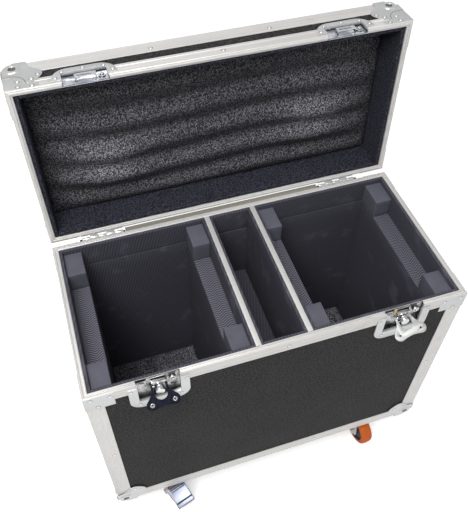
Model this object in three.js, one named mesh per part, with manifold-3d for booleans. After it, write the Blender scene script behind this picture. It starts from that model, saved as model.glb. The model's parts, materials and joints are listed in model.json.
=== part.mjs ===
// Lighting flight case on four casters: a plywood box with aluminium edges, a hinged lid,
// two recessed butterfly latches, three lined bays with foam cradles, and wavy foam in the lid.
// Millimetres, +Z up, +X to the right along the long side, -Y at the front where the latches are.
// The lid stands open, as the case is shown, and turns about LID_AXIS.
import * as THREE from 'three';
import { mergeVertices } from 'three/addons/utils/BufferGeometryUtils.js';
import Module from 'manifold-3d';

const wasm = await Module();
wasm.setup();

// The box
const CASE_WIDTH = 750;
const CASE_DEPTH = 357;
const BODY_HEIGHT = 512;
const LID_HEIGHT = 82.5;
const LID_OPEN_ANGLE = 93.3;
const RIM_GAP = 0.6;
const FIT = 0.3;

// Boards and aluminium sections
const SHEET = 1.6;
const BOARD = 8.8;
const EDGE_LEG = 33;
const RIM_FACE = 27;
const RIM_CAP = 8;
const GROOVE_WIDTH = 3.4;
const GROOVE_DEPTH = 2.6;
const GROOVE_INSET = 3.2;
const TONGUE_HEIGHT = 1.8;
const RIB_DEPTH = 0.6;
const RIB_WIDTH = 2.4;
const RIB_INSET = 8;
const EDGE_ROUND = 0.9;
const BRACE_LENGTH = 56;
const BRACE_PLATE = 1.2;
const BODY_BRACE_DROP = 42;
// The lid's brace plate, as distances from the end and below the lid's top, with the curve
// that leaves room for the ball corner
const LID_BRACE_CURVE = [[-1, 41], [15, 41], [23, 43.5], [30, 49], [34.5, 57], [36, 68], [40, 70]];

// Hinges, with the distance from each end of the case to its middle
const HINGE_END = [104, 117];
const HINGE_LENGTH = 86;
const HINGE_BACK = 5.9;
const HINGE_DROP = 4.6;
const HINGE_PLATE = 1.6;
const HINGE_LEAF_HEIGHT = 38;
const HINGE_LID_LEAF_HEIGHT = 17;
const KNUCKLE_RADIUS = 3.9;
const HINGE_PIN_RADIUS = 2;
const PIN_CLEARANCE = 0.4;
const KNUCKLES = 5;

// Corner balls
const BALL_RADIUS = 21;
const BALL_PROUD = 3.4;
const DIMPLE_RADIUS = 5.5;
const DIMPLE_FLOOR = 1.2;
const CORNER_PLATE = 1.3;
const CORNER_SPIKE = 42.5;
const CORNER_WAIST = [45, 15];
const CORNER_LOBE = [[65, 33], [66.7, 42.5], [62, 52]];
const UPRIGHT_END = 45;

// Linings and foam
const LINING = 6;
const DIVIDER_X = 51;
const DIVIDER_FACING = 5.4;
const CAP_WIDTH = 10.6;
const CAP_DEPTH = 12;
const CAP_SHEET = 1.2;
const LINING_DROP = 1.4;
const CRADLE_WIDTH = 37;
const CRADLE_BLOCK = 58;
const CRADLE_TOP_DROP = 12;
const CRADLE_STEP = 44;
const FLOOR_PAD = 23;
const SHELF_DROP = 207;
const SHELF_BOARD = 10;
const SHELF_LEG = 12;
const LID_LINING = 8;
const LID_FOAM_BASE = 6;
const LID_WAVE = 12;
const LID_WAVE_PITCH = 62;
const LID_WAVE_CREST = 20;
const LID_SWELL = 16;
const LID_SWELLS = [[-226, 50], [213, 39]];
const LID_FOAM_COLUMNS = 20;
const LID_FOAM_ROWS = 34;

// Butterfly latches
const LATCH_END = 133;
const DISH_WIDTH = 112;
const DISH_DROP = 82;
const DISH_CORNER = 25;
const DISH_TOP_DROP = 10;
const POCKET_WIDTH = 78;
const POCKET_DROP = 60;
const POCKET_DEPTH = 8.9;
const LATCH_NOTCH = 9.2;
const DISH_SHEET = 1;
const DISH_PROUD = 1.2;
const EYE_X = 26;
const EYE_DROP = 14;
const EYE_RADIUS = 6.6;
const EYE_BORE = 3;
const TAB_WIDTH = 18;
const TAB_HEIGHT = 32;
const TAB_DEPTH = 3;
const DOMES = [[-28, 43], [26, 43]];
const DOME_RADIUS = 7;
const DOME_HEIGHT = 1.3;
const WELL_DROP = 17.5;
const SPINDLE_DROP = 27;
const SPINDLE_RADIUS = 8.4;
const SPINDLE_BACK = 6.5;
const SPINDLE_PROUD = 8;
const SPINDLE_DOME = 2.4;
const SPINDLE_NECK = 4;
const WING_PIVOT_DEPTH = 3.7;
const WING_PIN_RADIUS = 1.6;
const WING_PLATE = 2.4;
const WING_BARREL = 2.7;
const WING_ARM = [11.3, 15.8];
const WING_HOLE_DROP = 34.6;
const WING_HOLE_X = 21;
const WING_HOLE_RADIUS = 2.2;
const WING_LOBE = 10.6;
const WING_CUT_DROP = 18.2;
const WING_CUT_RADIUS = 11.3;
const WING_FOLD = [38, 80];
const WING_TURN = [-4, -16];
const HOOK_WIDTH = 26;
const HOOK_HEIGHT = 5.7;
const HOOK_TOP_DROP = 11;
const HOOK_PLATE = [6.8, 7.6];
const HOOK_TRAVEL = 20;
const HOOK_FRONT = 1.4;

// Keepers in the lid
const KEEPER_RISE = 40;
const KEEPER_CORNER = 30;
const KEEPER_FOOT = 6;
const KEEPER_POCKET_RISE = 28;
const CATCH_LEFT = -17;
const CATCH_RIGHT = 20;
const CATCH_RISE = [8, 20];
const CATCH_SLOT_WIDTH = 26;
const CATCH_SLOT = [11.5, 16.5];
const CATCH_FRONT = -0.4;
const CATCH_SHEET = 1.4;
const STUD_X = 29;
const STUD_RISE = 13;
const STUD_RADIUS = 4.4;

// Side handles
const HANDLE_DROP = 215;
const HANDLE_WIDTH = 152;
const HANDLE_HEIGHT = 104;
const HANDLE_CORNER = 14;
const HANDLE_POCKET_WIDTH = 116;
const HANDLE_POCKET_HEIGHT = 76;
const HANDLE_DEPTH = 13;
const BAIL_WIDTH = 98;
const BAIL_DROP = 52;
const BAIL_RADIUS = 4;
const BAIL_PIVOT_DEPTH = 5.8;
const BAIL_PIVOT_RISE = 25;
const GRIP_RADIUS = 5.6;
const BAIL_SWING_PIN = 3;

// Casters, with the swivel axis set in from the ends and sides of the case
const CASTER_END = 120;
const CASTER_SIDE = 53.5;
const CASTER_HEIGHT = 107;
const CASTER_TRAIL = 33;
const CASTER_PLATE = [94, 84];
const CASTER_PLATE_SHEET = 2.6;
const HEAD_RADIUS = 22;
const HEAD_HEIGHT = 7;
const KINGPIN_RADIUS = 5;
const CROWN_DROP = 0.4;
const CROWN_SHEET = 3.2;
const WHEEL_RADIUS = 40;
const WHEEL_WIDTH = 30;
const WHEEL_CORE_RADIUS = 29;
const WHEEL_BOSS_RADIUS = 10;
const FORK_GAP = 1.4;
const FORK_SHEET = 3;
const AXLE_RADIUS = 4;
const AXLE_NUT = 7;
const AXLE_NUT_LENGTH = 5;
const PEDAL_PIN_TRAIL = 26;
const PEDAL_PIN_HEIGHT = 86;
const PEDAL_PIN_RADIUS = 2.6;
const PEDAL_SHEET = 2;
const PEDAL_START = 20;
const PEDAL_REACH = 98;
const PEDAL_SLOPE = 0.13;
const PEDAL_LIP = 7;
// Where each caster trails, in degrees from straight ahead: name, side, end, angle, braked
const CASTERS = [
  { place: 'front_left', x: -1, y: -1, trail: 17, braked: true },
  { place: 'front_right', x: 1, y: -1, trail: 6, braked: false },
  { place: 'rear_left', x: -1, y: 1, trail: 12, braked: true },
  { place: 'rear_right', x: 1, y: 1, trail: -5, braked: false },
];

// Levels and faces that follow from the sizes
const HALF_WIDTH = CASE_WIDTH / 2;
const HALF_DEPTH = CASE_DEPTH / 2;
const WALL = SHEET + BOARD;
const BASE = CASTER_HEIGHT;
const RIM = BASE + BODY_HEIGHT;
const LID_RIM = RIM + RIM_GAP;
const LID_TOP = LID_RIM + LID_HEIGHT;
const FLOOR_TOP = BASE + SHEET + FIT + BOARD;
const LID_AXIS = { y: HALF_DEPTH + HINGE_BACK, z: RIM - HINGE_DROP };
const HINGE_X = [-HALF_WIDTH + HINGE_END[0], HALF_WIDTH - HINGE_END[1]];
const LATCH_X = HALF_WIDTH - LATCH_END;
const CASTER_X = HALF_WIDTH - CASTER_END;
const CASTER_Y = HALF_DEPTH - CASTER_SIDE;
const BAY_END = HALF_WIDTH - WALL - LINING;
const BAY_SIDE = HALF_DEPTH - WALL - LINING;
const DIVIDER_HALF = CAP_WIDTH / 2 + DIVIDER_FACING;

// Finishes
function finish(color, roughness, metalness) {
  return new THREE.MeshStandardMaterial({ color, roughness, metalness });
}

const laminate = finish(0x3b3b3d, 0.6, 0);
const aluminium = finish(0xd9d7d3, 0.38, 0.9);
const zinc = finish(0xcfd0d2, 0.3, 0.95);
const darkZinc = finish(0x2a2d38, 0.4, 0.8);
const liningBlack = finish(0x202024, 0.85, 0);
const foamGrey = finish(0x3a3a3f, 0.9, 0);
const fuzzyBlack = finish(0x1d1d22, 1, 0);
const orangeTyre = finish(0xe0783a, 0.5, 0);
const plywood = finish(0xb98f5d, 0.8, 0);

const flightCase = new THREE.Group();
const bodyGroup = new THREE.Group();
const lidGroup = new THREE.Group();
flightCase.add(bodyGroup);
flightCase.add(lidGroup);

// Solids: closed meshes joined and cut
function solid(geometry) {
  const bare = geometry.index ? geometry.clone() : mergeVertices(geometry.clone());
  bare.deleteAttribute('normal');
  bare.deleteAttribute('uv');
  const merged = mergeVertices(bare, 1e-4);
  const build = (triangles) => new wasm.Manifold(new wasm.Mesh({
    numProp: 3,
    vertProperties: new Float32Array(merged.attributes.position.array),
    triVerts: new Uint32Array(triangles),
  }));
  const made = build(merged.index.array);
  return made.volume() < 0 ? build([...merged.index.array].reverse()) : made;
}

function join(...solids) {
  return solids.reduce((whole, next) => whole.add(next));
}

function cut(whole, ...tools) {
  return tools.reduce((rest, tool) => rest.subtract(tool), whole);
}

function piece(name, shape, material, group = bodyGroup) {
  const mesh = shape.getMesh();
  const geometry = new THREE.BufferGeometry();
  geometry.setAttribute('position', new THREE.BufferAttribute(new Float32Array(mesh.vertProperties), 3));
  geometry.setIndex(new THREE.BufferAttribute(new Uint32Array(mesh.triVerts), 1));
  geometry.computeVertexNormals();
  const part = new THREE.Mesh(geometry, material);
  part.name = name;
  group.add(part);
  return part;
}

function box(x0, x1, y0, y1, z0, z1) {
  const geometry = new THREE.BoxGeometry(x1 - x0, y1 - y0, z1 - z0);
  geometry.translate((x0 + x1) / 2, (y0 + y1) / 2, (z0 + z1) / 2);
  return solid(geometry);
}

// A rectangular frame with mitred corners; the profile is [inset from the outer face, height]
function mitredFrame(profile, halfWidth = HALF_WIDTH, halfDepth = HALF_DEPTH) {
  const points = profile.map(([inset, z]) => new THREE.Vector2((halfDepth - inset) * Math.SQRT2, z));
  points.push(points[0].clone());
  const geometry = new THREE.LatheGeometry(points, 4, Math.PI / 4);
  geometry.rotateX(Math.PI / 2);
  const position = geometry.attributes.position;
  for (let i = 0; i < position.count; i += 1) {
    position.setX(i, position.getX(i) + Math.sign(position.getX(i)) * (halfWidth - halfDepth));
  }
  return solid(geometry);
}

// A flat outline in x and z, given thickness along y from front to back
function upright(shape, front, back, curveSegments = 8) {
  const geometry = new THREE.ExtrudeGeometry(shape, {
    depth: back - front, bevelEnabled: false, curveSegments,
  });
  geometry.rotateX(Math.PI / 2);
  geometry.translate(0, back, 0);
  return solid(geometry);
}

// A flat outline in y and z, given thickness along x
function sideways(shape, left, right, curveSegments = 8) {
  const geometry = new THREE.ExtrudeGeometry(shape, {
    depth: right - left, bevelEnabled: false, curveSegments,
  });
  geometry.rotateX(Math.PI / 2);
  geometry.rotateZ(Math.PI / 2);
  geometry.translate(left, 0, 0);
  return solid(geometry);
}

function polygon(points) {
  return new THREE.Shape(points.map(([x, y]) => new THREE.Vector2(x, y)));
}

// A rod along x, y or z through a point
function rod(axis, radius, length, x, y, z, segments = 16, endRadius = radius) {
  const geometry = new THREE.CylinderGeometry(endRadius, radius, length, segments);
  if (axis === 'x') geometry.rotateZ(-Math.PI / 2);
  if (axis === 'z') geometry.rotateX(Math.PI / 2);
  geometry.translate(x, y, z);
  return solid(geometry);
}

function roundedBox(halfWidth, bottom, top, radius, corners = 'all') {
  const shape = new THREE.Shape();
  const low = corners === 'top' ? 0 : radius;
  const high = corners === 'bottom' ? 0 : radius;
  shape.moveTo(-halfWidth + low, bottom);
  shape.lineTo(halfWidth - low, bottom);
  if (low) shape.absarc(halfWidth - low, bottom + low, low, -Math.PI / 2, 0);
  shape.lineTo(halfWidth, top - high);
  if (high) shape.absarc(halfWidth - high, top - high, high, 0, Math.PI / 2);
  shape.lineTo(-halfWidth + high, top);
  if (high) shape.absarc(-halfWidth + high, top - high, high, Math.PI / 2, Math.PI);
  shape.lineTo(-halfWidth, bottom + low);
  if (low) shape.absarc(-halfWidth + low, bottom + low, low, Math.PI, Math.PI * 1.5);
  return shape;
}

function mirrored(shape, x, y) {
  return shape.scale([x, y, 1]);
}

// Openings through the walls for the latch dishes and the handle dishes
function latchOpening(x, drop, clearance) {
  const half = POCKET_WIDTH / 2 + DISH_SHEET + clearance;
  return box(x - half, x + half, -HALF_DEPTH - 2, -HALF_DEPTH + LATCH_NOTCH, RIM - drop, RIM + 3);
}

function handleOpening(side, grow) {
  const y = HANDLE_POCKET_WIDTH / 2 + DISH_SHEET + grow;
  const z = HANDLE_POCKET_HEIGHT / 2 + DISH_SHEET + grow;
  const inner = HALF_WIDTH - HANDLE_DEPTH - grow;
  const outer = HALF_WIDTH + 2;
  const middle = RIM - HANDLE_DROP;
  return box(Math.min(side * inner, side * outer), Math.max(side * inner, side * outer), -y, y,
    middle - z, middle + z);
}

function eachLatch(make) {
  return [-LATCH_X, LATCH_X].map(make);
}

function fourCorners(shape) {
  return [[1, 1], [-1, 1], [1, -1], [-1, -1]].map(([x, y]) => mirrored(shape, x, y));
}

// The eight corners of the box are cut away where the ball corners sit
const ballInset = BALL_RADIUS - BALL_PROUD;

function cornerNotches(z, up) {
  const size = ballInset + FIT;
  const notch = box(-HALF_WIDTH - 1, -HALF_WIDTH + size, -HALF_DEPTH - 1, -HALF_DEPTH + size,
    Math.min(z - up, z + up * size), Math.max(z - up, z + up * size));
  return fourCorners(notch);
}

const baseNotches = cornerNotches(BASE, 1);
const lidNotches = cornerNotches(LID_TOP, -1);

// Panels of laminated plywood
const panelInset = SHEET + FIT;
const panelBottom = BASE + SHEET + FIT;
const panelTop = RIM - RIM_CAP - FIT;
const latchDrop = POCKET_DROP + DISH_SHEET + FIT;

function longPanel(y) {
  const outer = HALF_DEPTH - panelInset;
  const inner = HALF_DEPTH - WALL;
  const half = HALF_WIDTH - panelInset;
  return box(-half, half, Math.min(y * outer, y * inner), Math.max(y * outer, y * inner),
    panelBottom, panelTop);
}

function endPanel(x) {
  const outer = HALF_WIDTH - panelInset;
  const inner = HALF_WIDTH - WALL;
  const half = HALF_DEPTH - WALL - FIT;
  return box(Math.min(x * outer, x * inner), Math.max(x * outer, x * inner), -half, half,
    panelBottom, panelTop);
}

const latchOpenings = eachLatch((x) => latchOpening(x, latchDrop, FIT));
piece('front_panel', cut(longPanel(-1), ...latchOpenings, ...baseNotches), laminate);
piece('back_panel', cut(longPanel(1), ...baseNotches), laminate);
piece('left_panel', cut(endPanel(-1), handleOpening(-1, FIT), ...baseNotches), laminate);
piece('right_panel', cut(endPanel(1), handleOpening(1, FIT), ...baseNotches), laminate);

// The underside of the swivel heads
const headBottom = BASE - FIT - CASTER_PLATE_SHEET + 0.5 - HEAD_HEIGHT;

// The floor board, with the four caster plates bolted under it on their packing
function casterPlate({ x, y }) {
  const cx = x * CASTER_X;
  const cy = y * CASTER_Y;
  const [long, wide] = CASTER_PLATE;
  const plate = box(cx - long / 2, cx + long / 2, cy - wide / 2, cy + wide / 2,
    BASE - FIT - CASTER_PLATE_SHEET, BASE - FIT);
  const reach = HALF_DEPTH - EDGE_LEG - FIT;
  const packing = box(cx - long / 2, cx + long / 2, Math.max(cy - wide / 2, -reach),
    Math.min(cy + wide / 2, reach), BASE - FIT - 1, panelBottom + 1);
  const head = rod('z', HEAD_RADIUS, HEAD_HEIGHT, cx, cy, headBottom + HEAD_HEIGHT / 2, 20);
  const bore = rod('z', KINGPIN_RADIUS + 0.35, HEAD_HEIGHT, cx, cy, headBottom + HEAD_HEIGHT / 2 - 1, 12);
  return cut(join(plate, packing, head), bore);
}

const floorX = HALF_WIDTH - WALL - FIT;
const floorY = HALF_DEPTH - WALL - FIT;
const floorBoard = box(-floorX, floorX, -floorY, floorY, panelBottom, FLOOR_TOP);
const floor = join(floorBoard, ...CASTERS.map(casterPlate));
piece('floor_panel', cut(floor, ...baseNotches), plywood);

// Rim sections: a groove runs round the body's rim, and the lid's rim carries the tongue
function rimFace(z0, up) {
  const ribMiddle = z0 + up * (RIM_FACE - RIB_INSET);
  return [
    [0, z0 + up * RIM_FACE],
    [0, ribMiddle + up * (RIB_WIDTH / 2)],
    [RIB_DEPTH, ribMiddle + up * (RIB_WIDTH / 2 - RIB_DEPTH)],
    [RIB_DEPTH, ribMiddle - up * (RIB_WIDTH / 2 - RIB_DEPTH)],
    [0, ribMiddle - up * (RIB_WIDTH / 2)],
    [0, z0 + up * EDGE_ROUND],
    [EDGE_ROUND, z0],
  ];
}

function rimBack(z0, up) {
  return [
    [WALL - EDGE_ROUND, z0],
    [WALL, z0 + up * EDGE_ROUND],
    [WALL, z0 + up * RIM_CAP],
    [SHEET, z0 + up * RIM_CAP],
    [SHEET, z0 + up * RIM_FACE],
  ];
}

const grooveEnd = GROOVE_INSET + GROOVE_WIDTH;
const bodyRim = mitredFrame([
  ...rimFace(RIM, -1),
  [GROOVE_INSET, RIM],
  [GROOVE_INSET, RIM - GROOVE_DEPTH],
  [grooveEnd, RIM - GROOVE_DEPTH],
  [grooveEnd, RIM],
  ...rimBack(RIM, -1),
]);
const lidRim = mitredFrame([
  ...rimFace(LID_RIM, 1),
  [GROOVE_INSET + FIT, LID_RIM],
  [GROOVE_INSET + FIT, LID_RIM - TONGUE_HEIGHT],
  [grooveEnd - FIT, LID_RIM - TONGUE_HEIGHT],
  [grooveEnd - FIT, LID_RIM],
  ...rimBack(LID_RIM, 1),
]);

// A flat outline on the long face and the same one on the end face, joined round a corner.
// The outline gives distances from the corner and heights; proud is how far it stands out.
function cornerPlates(points, proud, depth, curve = 6) {
  const shape = points instanceof THREE.Shape ? points : polygon(points);
  const long = upright(shape, -proud, depth, curve).translate([-HALF_WIDTH, -HALF_DEPTH, 0]);
  const short = sideways(shape, -proud, depth, curve).translate([-HALF_WIDTH, -HALF_DEPTH, 0]);
  return join(long, short);
}

// Corner brace plates riveted over the rims
const bodyBracePlate = cornerPlates([
  [-BRACE_PLATE, RIM - BODY_BRACE_DROP], [BRACE_LENGTH - 3, RIM - BODY_BRACE_DROP],
  [BRACE_LENGTH - 3, RIM - EDGE_ROUND], [-BRACE_PLATE, RIM - EDGE_ROUND],
], BRACE_PLATE, SHEET / 2);
const belowRim = box(-HALF_WIDTH - FIT, 0, -HALF_DEPTH - FIT, 0,
  RIM - BODY_BRACE_DROP - 1, RIM - RIM_FACE - FIT);
const bodyBrace = cut(bodyBracePlate, belowRim);
const lidBraceOutline = [
  [-BRACE_PLATE, LID_RIM + EDGE_ROUND],
  ...LID_BRACE_CURVE.map(([x, down]) => [x < 0 ? -BRACE_PLATE : x, LID_TOP - down]),
  [BRACE_LENGTH, LID_TOP - 70], [BRACE_LENGTH, LID_RIM + EDGE_ROUND],
];
const aboveLidRim = box(-HALF_WIDTH - FIT, 0, -HALF_DEPTH - FIT, 0, LID_RIM + RIM_FACE + FIT, LID_TOP);
const lidBrace = cut(cornerPlates(lidBraceOutline, BRACE_PLATE, SHEET / 2), aboveLidRim);
const rimNotches = eachLatch((x) => latchOpening(x, RIM_FACE + 10, FIT));
piece('body_rim', cut(join(bodyRim, ...fourCorners(bodyBrace)), ...rimNotches), aluminium);

// Edge angles of the body: a mitred frame round the base and four uprights, in one riveted frame
const baseAngle = mitredFrame([
  [0, BASE + EDGE_ROUND], [0, BASE + EDGE_LEG], [SHEET, BASE + EDGE_LEG], [SHEET, BASE + SHEET],
  [EDGE_LEG, BASE + SHEET], [EDGE_LEG, BASE], [EDGE_ROUND, BASE],
]);

function uprightAngle() {
  const top = RIM - RIM_FACE - FIT;
  const bottom = BASE + SHEET / 2;
  const front = box(-HALF_WIDTH, -HALF_WIDTH + EDGE_LEG, -HALF_DEPTH, -HALF_DEPTH + SHEET, bottom, top);
  const end = box(-HALF_WIDTH, -HALF_WIDTH + SHEET, -HALF_DEPTH, -HALF_DEPTH + EDGE_LEG, bottom, top);
  return join(front, end);
}

const uprights = fourCorners(uprightAngle());
const edgeFrame = join(baseAngle, ...uprights);
piece('body_edge_frame', cut(edgeFrame, ...baseNotches), aluminium);

// A ball corner: an eighth of a ball with two dimpled bulges, and a plate on each of the
// three faces. The outline is the same for each face and gives distances from the two edges.
const cornerPlate = CORNER_PLATE + FIT;
const cornerOutline = [
  [ballInset, -cornerPlate], [CORNER_SPIKE, -cornerPlate], CORNER_WAIST, ...CORNER_LOBE,
  ...CORNER_LOBE.map(([a, b]) => [b, a]).reverse(), [CORNER_WAIST[1], CORNER_WAIST[0]],
  [-cornerPlate, CORNER_SPIKE], [-cornerPlate, ballInset], [ballInset, ballInset],
];

function ballCorner(hidden) {
  const big = new THREE.SphereGeometry(BALL_RADIUS, 16, 8);
  big.translate(ballInset, ballInset, ballInset);
  const ball = solid(big);
  const low = -BALL_PROUD - 1;
  const edge = ballInset + 0.1;
  const eighth = box(low, edge, low, edge, -cornerPlate, edge);
  const thick = edge - CORNER_PLATE;
  const collar = cut(box(-1, edge, -1, edge, -1, edge), box(-2, thick, -2, thick, -2, thick));
  const far = ballInset + BALL_RADIUS;
  const bulges = join(box(low, -FIT, low, far, low, far), box(low, far, low, -FIT, low, far));
  const shape = polygon(cornerOutline);
  const flat = new THREE.ExtrudeGeometry(shape, { depth: CORNER_PLATE, bevelEnabled: false });
  flat.translate(0, 0, -cornerPlate);
  const plates = cut(join(
    upright(shape, -cornerPlate, -FIT), sideways(shape, -cornerPlate, -FIT),
  ), hidden);
  const rounded = cut(join(ball.intersect(eighth), collar), box(WALL, far, WALL, far, WALL, far));
  const dimple = (axis, x, y, z) => rod(axis, DIMPLE_RADIUS, 4, x, y, z, 8);
  const side = -DIMPLE_FLOOR - 2;
  const dimples = join(
    dimple('x', side, ballInset, ballInset),
    dimple('y', ballInset, side, ballInset),
  );
  return cut(join(rounded, ball.intersect(bulges), plates, solid(flat)), dimples);
}

// What lies over a corner's plates: an edge angle with a rounded end, or the lid's brace
function overlap(points) {
  const shape = polygon(points);
  return join(
    upright(shape, -cornerPlate - 1, 1).translate([0, 0, 0]),
    sideways(shape, -cornerPlate - 1, 1),
  );
}

const past = EDGE_LEG + FIT;
const angleEnd = overlap([
  [-3, UPRIGHT_END], [past - 11, UPRIGHT_END + 1], [past - 3, UPRIGHT_END + 6], [past, UPRIGHT_END + 14],
  [past, 80], [-3, 80],
]);
const braceEnd = overlap([
  ...LID_BRACE_CURVE.map(([x, down]) => [x < 0 ? -3 : x, down - FIT]), [90, 70 - FIT], [90, 90], [-3, 90],
]);
const baseCorner = ballCorner(angleEnd);
const lidCorner = ballCorner(braceEnd).scale([1, 1, -1]);
const places = [['front_left', 1, 1], ['front_right', -1, 1], ['rear_left', 1, -1], ['rear_right', -1, -1]];
places.forEach(([place, x, y]) => {
  const base = baseCorner.translate([-HALF_WIDTH, -HALF_DEPTH, BASE]);
  const lid = lidCorner.translate([-HALF_WIDTH, -HALF_DEPTH, LID_TOP]);
  piece(`base_ball_corner_${place}`, mirrored(base, x, y), zinc);
  piece(`lid_ball_corner_${place}`, mirrored(lid, x, y), zinc, lidGroup);
});

// Lining of the walls, notched for the divider caps and the handle dishes
const liningTop = RIM - LINING_DROP;
const wallLining = cut(
  box(-floorX, floorX, -floorY, floorY, FLOOR_TOP + FIT, liningTop),
  box(-BAY_END, BAY_END, -BAY_SIDE, BAY_SIDE, FLOOR_TOP, RIM),
  ...[-DIVIDER_X, DIVIDER_X].map((x) => box(x - CAP_WIDTH / 2 - FIT, x + CAP_WIDTH / 2 + FIT,
    -HALF_DEPTH, HALF_DEPTH, RIM - CAP_DEPTH - FIT, RIM)),
  handleOpening(-1, FIT),
  handleOpening(1, FIT),
);
piece('wall_lining', wallLining, liningBlack);

// Dividers: a board faced with lining on both sides, and a channel capping its top edge
const dividerEnd = BAY_SIDE - FIT;
const capEnd = HALF_DEPTH - WALL - FIT;
[['left', -DIVIDER_X], ['right', DIVIDER_X]].forEach(([side, x]) => {
  const half = CAP_WIDTH / 2;
  const faced = box(x - DIVIDER_HALF, x + DIVIDER_HALF, -dividerEnd, dividerEnd, FLOOR_TOP + FIT, liningTop);
  const slot = box(x - half - FIT, x + half + FIT, -HALF_DEPTH, HALF_DEPTH, RIM - CAP_DEPTH - FIT, RIM);
  const core = half - CAP_SHEET - FIT;
  const tongue = box(x - core, x + core, -dividerEnd, dividerEnd, RIM - CAP_DEPTH - 1, RIM - CAP_SHEET - FIT);
  piece(`divider_${side}`, join(cut(faced, slot), tongue), liningBlack);
  const channel = cut(
    box(x - half, x + half, -capEnd, capEnd, RIM - CAP_DEPTH, RIM),
    box(x - core - FIT, x + core + FIT, -HALF_DEPTH, HALF_DEPTH, RIM - CAP_DEPTH - 1, RIM - CAP_SHEET),
  );
  piece(`divider_cap_${side}`, channel, aluminium);
});

// Foam cradles: full-height foam with a raised block at the front and at the back
function cradle(left) {
  const end = BAY_SIDE - FIT;
  const inner = BAY_SIDE - CRADLE_BLOCK;
  const bottom = FLOOR_TOP + FIT;
  const top = RIM - CRADLE_TOP_DROP;
  const step = top - CRADLE_STEP;
  return sideways(polygon([
    [-end, bottom], [end, bottom], [end, top], [inner, top], [inner, step],
    [-inner, step], [-inner, top], [-end, top],
  ]), left, left + CRADLE_WIDTH);
}

const dividerFace = DIVIDER_X + DIVIDER_HALF + FIT;
piece('foam_cradle_left_outer', cradle(-BAY_END + FIT), foamGrey);
piece('foam_cradle_left_inner', cradle(-dividerFace - CRADLE_WIDTH), foamGrey);
piece('foam_cradle_right_inner', cradle(dividerFace), foamGrey);
piece('foam_cradle_right_outer', cradle(BAY_END - FIT - CRADLE_WIDTH), foamGrey);

// Floor pads of the two big bays, and the shelf of the middle bay on its two end legs
const padNear = dividerFace + CRADLE_WIDTH + FIT;
const padFar = BAY_END - FIT - CRADLE_WIDTH - FIT;
const padSide = BAY_SIDE - FIT;
const padBottom = FLOOR_TOP + FIT;
const padTop = padBottom + FLOOR_PAD;
piece('floor_pad_left', box(-padFar, -padNear, -padSide, padSide, padBottom, padTop), fuzzyBlack);
piece('floor_pad_right', box(padNear, padFar, -padSide, padSide, padBottom, padTop), fuzzyBlack);
const shelfHalf = DIVIDER_X - DIVIDER_HALF - FIT;
const shelfTop = RIM - SHELF_DROP;
const shelfBottom = shelfTop - SHELF_BOARD;
piece('middle_shelf', cut(
  box(-shelfHalf, shelfHalf, -padSide, padSide, padBottom, shelfTop),
  box(-shelfHalf - 1, shelfHalf + 1, -padSide + SHELF_LEG, padSide - SHELF_LEG, padBottom - 1, shelfBottom),
), liningBlack);

// Recessed latch dishes in the body, open at the rim. Depths are counted back from the front face.
const face = -HALF_DEPTH;
const pocketFloor = POCKET_DEPTH - DISH_SHEET;

function plateWithPocket(outline, pocketBottom, pocketTop, padBottomZ, padTopZ) {
  const half = POCKET_WIDTH / 2;
  const plate = upright(outline, face - FIT - DISH_PROUD, face - FIT, 5);
  const pad = upright(outline, face - FIT - 0.1, face + SHEET, 5)
    .intersect(box(-DISH_WIDTH, DISH_WIDTH, face - 5, 0, padBottomZ, padTopZ));
  const shell = box(-half - DISH_SHEET, half + DISH_SHEET, face - FIT - DISH_PROUD, face + POCKET_DEPTH,
    pocketBottom - DISH_SHEET, pocketTop);
  const hollow = box(-half, half, face - 5, face + pocketFloor, pocketBottom, pocketTop + 1);
  return { body: join(plate, pad, shell), hollow };
}

function latchDish() {
  const top = RIM - DISH_TOP_DROP;
  const outline = roundedBox(DISH_WIDTH / 2, RIM - DISH_DROP, top, DISH_CORNER, 'bottom');
  const { body, hollow } = plateWithPocket(outline, RIM - POCKET_DROP, RIM - 1, RIM - DISH_DROP - 1,
    RIM - RIM_FACE - FIT);
  const openTop = box(-POCKET_WIDTH / 2, POCKET_WIDTH / 2, face - 5, face + pocketFloor, RIM - 20, RIM + 1);
  const well = box(-HOOK_WIDTH / 2, HOOK_WIDTH / 2, face + 3, face + 12, RIM - WELL_DROP, RIM - 3);
  const bearing = rod('y', SPINDLE_NECK + PIN_CLEARANCE, 8, 0, face + POCKET_DEPTH, RIM - SPINDLE_DROP, 16);
  const tabLeft = -POCKET_WIDTH / 2;
  const tabBottom = RIM - 2 - TAB_HEIGHT;
  const tabFront = face + pocketFloor - TAB_DEPTH;
  const tab = join(
    box(tabLeft, tabLeft + TAB_WIDTH, tabFront, face + pocketFloor + 0.5, tabBottom, RIM - 2),
    box(tabLeft + 4, tabLeft + TAB_WIDTH - 4, tabFront - 1.6, face + pocketFloor, tabBottom + 6, RIM - 8),
  );
  const eyeLength = pocketFloor - 1.5;
  const eye = cut(
    rod('y', EYE_RADIUS, eyeLength + 0.5, EYE_X, face + 1.5 + eyeLength / 2 + 0.25, RIM - EYE_DROP, 16),
    rod('y', EYE_BORE, eyeLength * 2, EYE_X, face + 1, RIM - EYE_DROP, 12),
  );
  const domes = DOMES.map(([x, drop]) => rod('y', DOME_RADIUS * 0.6, DOME_HEIGHT + 0.5, x,
    face + pocketFloor - DOME_HEIGHT / 2 + 0.25, RIM - drop, 14, DOME_RADIUS));
  return cut(join(cut(body, hollow, openTop), tab, eye, ...domes), well, bearing);
}

[['left', -LATCH_X], ['right', LATCH_X]].forEach(([side, x]) => {
  piece(`latch_dish_${side}`, latchDish().translate([x, 0, 0]), zinc);
});

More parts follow.
